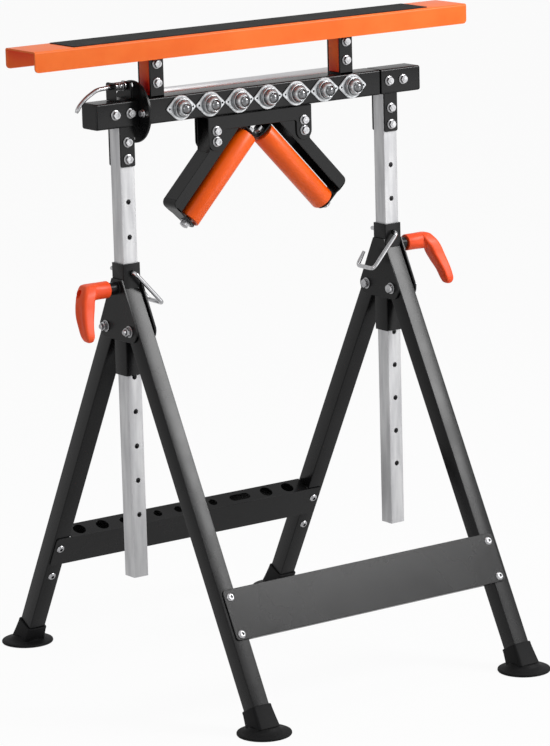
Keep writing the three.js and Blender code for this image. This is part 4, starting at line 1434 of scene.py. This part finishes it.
for side in SIDES:
    make_lever(side)

# %% [markdown]
# ## Lock pins
# Above the clamp, a bent wire pin goes through the sleeve and the mast, and its tail is the finger pull. A
# wire is a round section along a path, so only its bends are listed, and their corners are eased. The wire
# stops at the mast's front and goes on behind it, as its solids do.

# %% Lock pins
WIRE_FRONT = 12.9  # where the wire stops at the mast, on either side of its middle
WIRE_BENDS = (
    (MAST_X, -WIRE_FRONT, PIN_Z), (MAST_X, -24.5, PIN_Z), (195, -24.5, 580.5), (194, 15, 581), (207, 15, 601))
WIRE_TIP = ((WIRE_FRONT, ROD_RADIUS), (37.5, ROD_RADIUS), (39.5, 2), (40, 1))


def make_lock_pin(side):
    place = side_frame(side)
    body = f"lock_pin_{side}"
    bm = bmesh.new()
    path = eased(WIRE_BENDS, ease=7, steps=8)
    run(bm, path, rod_radii(path, tip=2.4), place, sides=20)
    turned(bm, "y", WIRE_TIP, (MAST_X, 0, PIN_Z), place, sides=20)
    piece(f"lock_wire_{side}", bm, WIRE_CHROME, body, [body, f"lock_pin_tip_{side}"])


for side in SIDES:
    make_lock_pin(side)

# %% [markdown]
# ## Fasteners
# Hex bolts with a flange hold the head together, and the panels have button heads with a hex socket. A head
# is a stack of round and six-sided rings, so one function makes every kind from a short list. The heads
# could be placed in a loop, but one node tree sets a head on every point and turns it the way the point
# faces, so a new bolt is only a new point.

# %% Fastener shapes
# Rings from the seat outwards: height, radius, round or hex. A socket runs back down inside.
FLANGE_BOLT = (
    (0, 7.7, "round"), (0.9, 7.7, "round"), (1.4, 7.2, "round"), (1.8, 6.3, "round"), (1.9, 6.2, "hex"),
    (4.9, 6.2, "hex"), (5.5, 5.3, "round"), (5.6, 4.9, "round"), (5.1, 3.2, "round"))
DISC_BOLT = (
    (0, 6.3, "round"), (0.8, 6.3, "round"), (1.2, 5.9, "round"), (1.5, 5.4, "round"), (1.6, 5.3, "hex"),
    (4.2, 5.3, "hex"), (4.8, 4.5, "round"), (4.9, 4.1, "round"), (4.5, 2.8, "round"))
BUTTON_HEAD = (
    (0, 6.3, "round"), (0.5, 6.4, "round"), (1.3, 6.0, "round"), (2.1, 5.2, "round"), (2.8, 4.0, "round"),
    (3.0, 3.2, "round"), (2.9, 2.9, "hex"), (0.9, 2.9, "hex"))
WASHER_NUT = (
    (0, 8.6, "round"), (1.2, 8.6, "round"), (1.5, 8.2, "round"), (1.6, 7.4, "hex"), (6.0, 7.4, "hex"),
    (6.7, 6.3, "round"), (6.7, 4.7, "round"), (5.6, 4.4, "round"))
PIVOT_NUT = (
    (0, 8.6, "round"), (1.4, 8.6, "round"), (1.6, 8.3, "round"), (1.7, 6.9, "hex"), (6.9, 6.9, "hex"),
    (7.6, 5.9, "round"), (7.6, 4.5, "round"), (6.6, 4.2, "round"))
PIVOT_HEAD = (
    (0, 8.6, "round"), (1.4, 8.6, "round"), (1.6, 8.3, "round"), (1.7, 6.9, "hex"), (6.4, 6.9, "hex"),
    (7.1, 5.8, "round"), (7.2, 5.2, "round"), (6.8, 3.4, "round"))


def head_ring(height, radius, form, sides=24):
    points = []
    for i in range(sides):
        t = 2 * math.pi * i / sides
        reach = radius
        if form == "hex":
            reach *= math.cos(math.pi / 6) / math.cos(t % (math.pi / 3) - math.pi / 6)
        points.append((reach * math.cos(t), reach * math.sin(t), height))
    return points


def head_shape(rings):
    bm = bmesh.new()
    loops(bm, [head_ring(*ring) for ring in rings], UNIT)
    return shape_object("head_shape", bm)


# %% Fastener tree
def fastener_tree():
    """One shape set on every point and turned so that its z runs along the point's facing."""
    tree, given = new_tree("fastener_heads", Geometry="Geometry", Shape="Object", Finish="Material")
    head = node(tree, "GeometryNodeObjectInfo", {"Object": given["Shape"]})
    facing = node(tree, "GeometryNodeInputNamedAttribute", data_type="FLOAT_VECTOR", Name="facing")
    turn = node(
        tree, "FunctionNodeAlignRotationToVector", {"Vector": facing.outputs["Attribute"]}, axis="Z")
    spread = node(
        tree, "GeometryNodeInstanceOnPoints",
        {"Points": given["Geometry"], "Instance": head.outputs["Geometry"],
         "Rotation": turn.outputs["Rotation"]})
    end_tree(tree, spread.outputs["Instances"], given["Finish"])
    return tree


HEADS = fastener_tree()


def point_mesh(name, spots):
    """Points with a facing direction each, from (place matrix, point, direction) rows."""
    mesh = bpy.data.meshes.new(name)
    mesh.from_pydata([place @ Vector(point) for place, point, _ in spots], [], [])
    facing = mesh.attributes.new("facing", "FLOAT_VECTOR", "POINT")
    for i, (place, _, direction) in enumerate(spots):
        facing.data[i].vector = (place.to_3x3() @ Vector(direction)).normalized()
    return mesh


def fasteners(name, body, spots, rings):
    made = grown(name, HEADS, head_shape(rings), point_mesh(name, spots), Finish=BOLT_ZINC)
    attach(made, body)
    print(name, len(spots))


# %% Bolts of the masts and the head
FRONT, REAR, LEFT, RIGHT = (0, -1, 0), (0, 1, 0), (-1, 0, 0), (1, 0, 0)
STRAP_FACE = MAST_HALF + STRAP_PLAY + STRAP
STRAP_BOLTS_Z = (822.5, 797.5)
BLOCK_BOLTS_X = (236, 262.5)
BLOCK_BOLTS_Z = AXIS_Z + 1
POST_BOLTS_Z = (931.5, 903.5)
YOKE_BOLTS_X = (-80, 80)
YOKE_BOLTS_Z = (822, 806.5)


def mast_bolts():
    spots = []
    for side in SIDES:
        place = side_frame(side)
        for facing in (FRONT, REAR):
            for z in STRAP_BOLTS_Z:
                spots.append((place, (MAST_X, facing[1] * STRAP_FACE, z), facing))
            for x in BLOCK_BOLTS_X:
                spots.append((place, (x, facing[1] * BEAM_HALF, BLOCK_BOLTS_Z), facing))
    return spots


def head_bolts():
    yoke = STAND @ Matrix.Translation((VEE_X, 0, 0))
    spots = []
    for facing in (FRONT, REAR):
        for x in POST_X:
            for z in POST_BOLTS_Z:
                spots.append((STAND, (x, facing[1] * STRAP_FACE, z), facing))
        for x in YOKE_BOLTS_X:
            for z in YOKE_BOLTS_Z:
                spots.append((yoke, (x, facing[1] * CHEEK[1], z), facing))
    return spots


fasteners("mast_bolts", "masts", mast_bolts(), FLANGE_BOLT)
fasteners("head_bolts", "head", head_bolts(), FLANGE_BOLT)

# %% Bolts of the panel and the tray
SHEET_FACE = LEG_HALF + SEAT_GAP + SHEET
PANEL_BOLTS_X = 238.5
PANEL_BOLTS_S = (416, 471.7)
TRAY_BOLTS = ((417, SHEET_FACE), (473, LEG_HALF))  # down the legs, and the face they sit on


def panel_bolts():
    place = leg_frame("front")
    return [(place, (SIDES[side] * PANEL_BOLTS_X, -SHEET_FACE, -s), FRONT)
            for side in SIDES for s in PANEL_BOLTS_S]


def tray_bolts():
    place = leg_frame("rear")
    return [(place, (SIDES[side] * MAST_X, face, -s), REAR) for side in SIDES for s, face in TRAY_BOLTS]


fasteners("panel_bolts", "front_legs", panel_bolts(), BUTTON_HEAD)
fasteners("tray_bolts", "rear_legs", tray_bolts(), BUTTON_HEAD)

# %% Nuts of the axles and bolts of the disc
NUT_GAP = 0.1  # a nut's seat stands this far off its plate, so that the two never flicker
EAR_FACE = EAR_GAP + EAR_SHEET + 2 * NUT_GAP
DISC_BOLTS_Y = (-28, 28)


def axle_nuts():
    spots = [
        (STAND, (ROLLER_ENDS[0] - EAR_FACE, ROLLER_Y, AXIS_Z), LEFT),
        (STAND, (ROLLER_ENDS[1] + EAR_FACE, ROLLER_Y, AXIS_Z), RIGHT)]
    for side in SIDES:
        place = arm_frame(side)
        spots.append((place, (ARM_START - NUT_GAP, 0, 0), LEFT))
        spots.append((place, (ARM_END + NUT_GAP, 0, 0), RIGHT))
    return spots


def disc_bolts():
    return [(STAND, (DISC_X[0], y, AXIS_Z), LEFT) for y in DISC_BOLTS_Y]


fasteners("axle_nuts", "head", axle_nuts(), WASHER_NUT)
fasteners("disc_bolts", "head", disc_bolts(), DISC_BOLT)

# %% [markdown]
# ## Leg pivots
# Each leg turns on an 8 mm bolt through both gussets, with a wide washer and a nut on the outside and a hex
# head on the inside. The shanks are turned one by one, because each stands for a solid of its own, and the
# same node tree sets both ends, with other head shapes.

# %% Pivots
PIVOT_SHANK = ((-22, 3.4), (-21, 4), (28.4, 4), (29.4, 3))  # along x from the mast's middle, and radius
PIVOT_FACE = SLEEVE_HALF + GUSSET + NUT_GAP


def make_pivots():
    outside, inside = [], []
    shank = [(MAST_X + along, radius) for along, radius in PIVOT_SHANK]
    for side in SIDES:
        place = side_frame(side)
        for pair, y in (("front", -PIVOT_Y), ("rear", PIVOT_Y)):
            bm = bmesh.new()
            turned(bm, "x", shank, (0, y, PIVOT_Z), place, sides=24)
            name = f"pivot_bolt_{pair}_{side}"
            piece(f"pivot_shank_{pair}_{side}", bm, BOLT_ZINC, "carriers", [name])
            outside.append((place, (MAST_X + PIVOT_FACE, y, PIVOT_Z), RIGHT))
            inside.append((place, (MAST_X - PIVOT_FACE, y, PIVOT_Z), LEFT))
    fasteners("pivot_nuts", "carriers", outside, PIVOT_NUT)
    fasteners("pivot_heads", "carriers", inside, PIVOT_HEAD)


make_pivots()

# %% [markdown]
# ## Studio
# The photograph is a cut-out on white. More light could whiten the room, but it would wash out the stand.
# So the floor and the world are white only to the camera and in reflections, and four soft lamps light the
# stand: a key high to the right front, whose reflection lies along the slanted fronts of the legs, a small
# one low in front of the masts, a weak fill from the left, and a broad one from above.

# %% Floor and world
MIRRORED = 0.62  # share of the white room that shows in reflections; the camera itself sees all of it
FLOOR_WHITE = 0.95  # the rest of the floor is matt and keeps the stand's shadow
FLOOR_MATT = "#D2D2D2"
FLOOR_REACH = 12  # metres
AMBIENT = 0.24
WHITE = grey(1.0)


def seen_share(tree):
    """How white the room is for a ray: full for the camera, a little less in reflections, else none."""
    rays = node(tree, "ShaderNodeLightPath").outputs
    mirrored = node(tree, "ShaderNodeMath", {0: rays["Is Glossy Ray"]}, operation="MULTIPLY")
    mirrored.inputs[1].default_value = MIRRORED
    direct = node(
        tree, "ShaderNodeMath", {0: rays["Is Camera Ray"], 1: rays["Is Transmission Ray"]},
        operation="MAXIMUM")
    seen = node(
        tree, "ShaderNodeMath", {0: direct.outputs[0], 1: mirrored.outputs[0]}, operation="MAXIMUM")
    return seen.outputs[0]


def make_floor():
    material, tree = new_material("studio_floor")
    share = node(tree, "ShaderNodeMath", {0: seen_share(tree)}, operation="MULTIPLY")
    share.inputs[1].default_value = FLOOR_WHITE
    matt = node(tree, "ShaderNodeBsdfDiffuse", Color=hex_rgba(FLOOR_MATT))
    white = node(tree, "ShaderNodeEmission", Color=WHITE, Strength=1.0)
    mixed = node(
        tree, "ShaderNodeMixShader",
        {0: share.outputs[0], 1: matt.outputs["BSDF"], 2: white.outputs["Emission"]})
    node(tree, "ShaderNodeOutputMaterial", {"Surface": mixed.outputs["Shader"]})
    r = FLOOR_REACH
    mesh = bpy.data.meshes.new("studio_floor")
    mesh.from_pydata([(-r, -r, 0), (r, -r, 0), (r, r, 0), (-r, r, 0)], [], [(0, 1, 2, 3)])
    mesh.materials.append(material)
    new_object("studio_floor", mesh)


def make_world():
    world = bpy.data.worlds.new("studio_world")
    world.use_nodes = True
    tree = world.node_tree
    tree.nodes.clear()
    ambient = node(tree, "ShaderNodeBackground", Color=WHITE, Strength=AMBIENT)
    white = node(tree, "ShaderNodeBackground", Color=WHITE, Strength=1.0)
    mixed = node(
        tree, "ShaderNodeMixShader",
        {0: seen_share(tree), 1: ambient.outputs["Background"], 2: white.outputs["Background"]})
    node(tree, "ShaderNodeOutputWorld", {"Surface": mixed.outputs["Shader"]})
    bpy.context.scene.world = world


make_floor()
make_world()

# %% Lamps
LAMP_AIM = Vector((0, 0, 0.5))


def lamp(name, place, size, power):
    """A round soft lamp, in metres and watts, that points at the stand's middle."""
    data = bpy.data.lights.new(name, "AREA")
    data.shape = "DISK"
    data.size = size
    data.energy = power
    made = bpy.data.objects.new(name, data)
    bpy.context.scene.collection.objects.link(made)
    made.location = place
    made.rotation_mode = "QUATERNION"
    made.rotation_quaternion = (LAMP_AIM - Vector(place)).to_track_quat("-Z", "Y")


lamp("key", (1.87, -2.0, 2.35), size=1.3, power=84)
lamp("front", (1.1, -1.5, 0.45), size=1.0, power=3.9)
lamp("fill", (-2.6, -1.2, 1.3), size=1.8, power=10)
lamp("top", (0.1, 0.3, 3.2), size=2.4, power=24)
bpy.context.scene.view_settings.view_transform = "Standard"
print("lamps", len(bpy.data.lights))
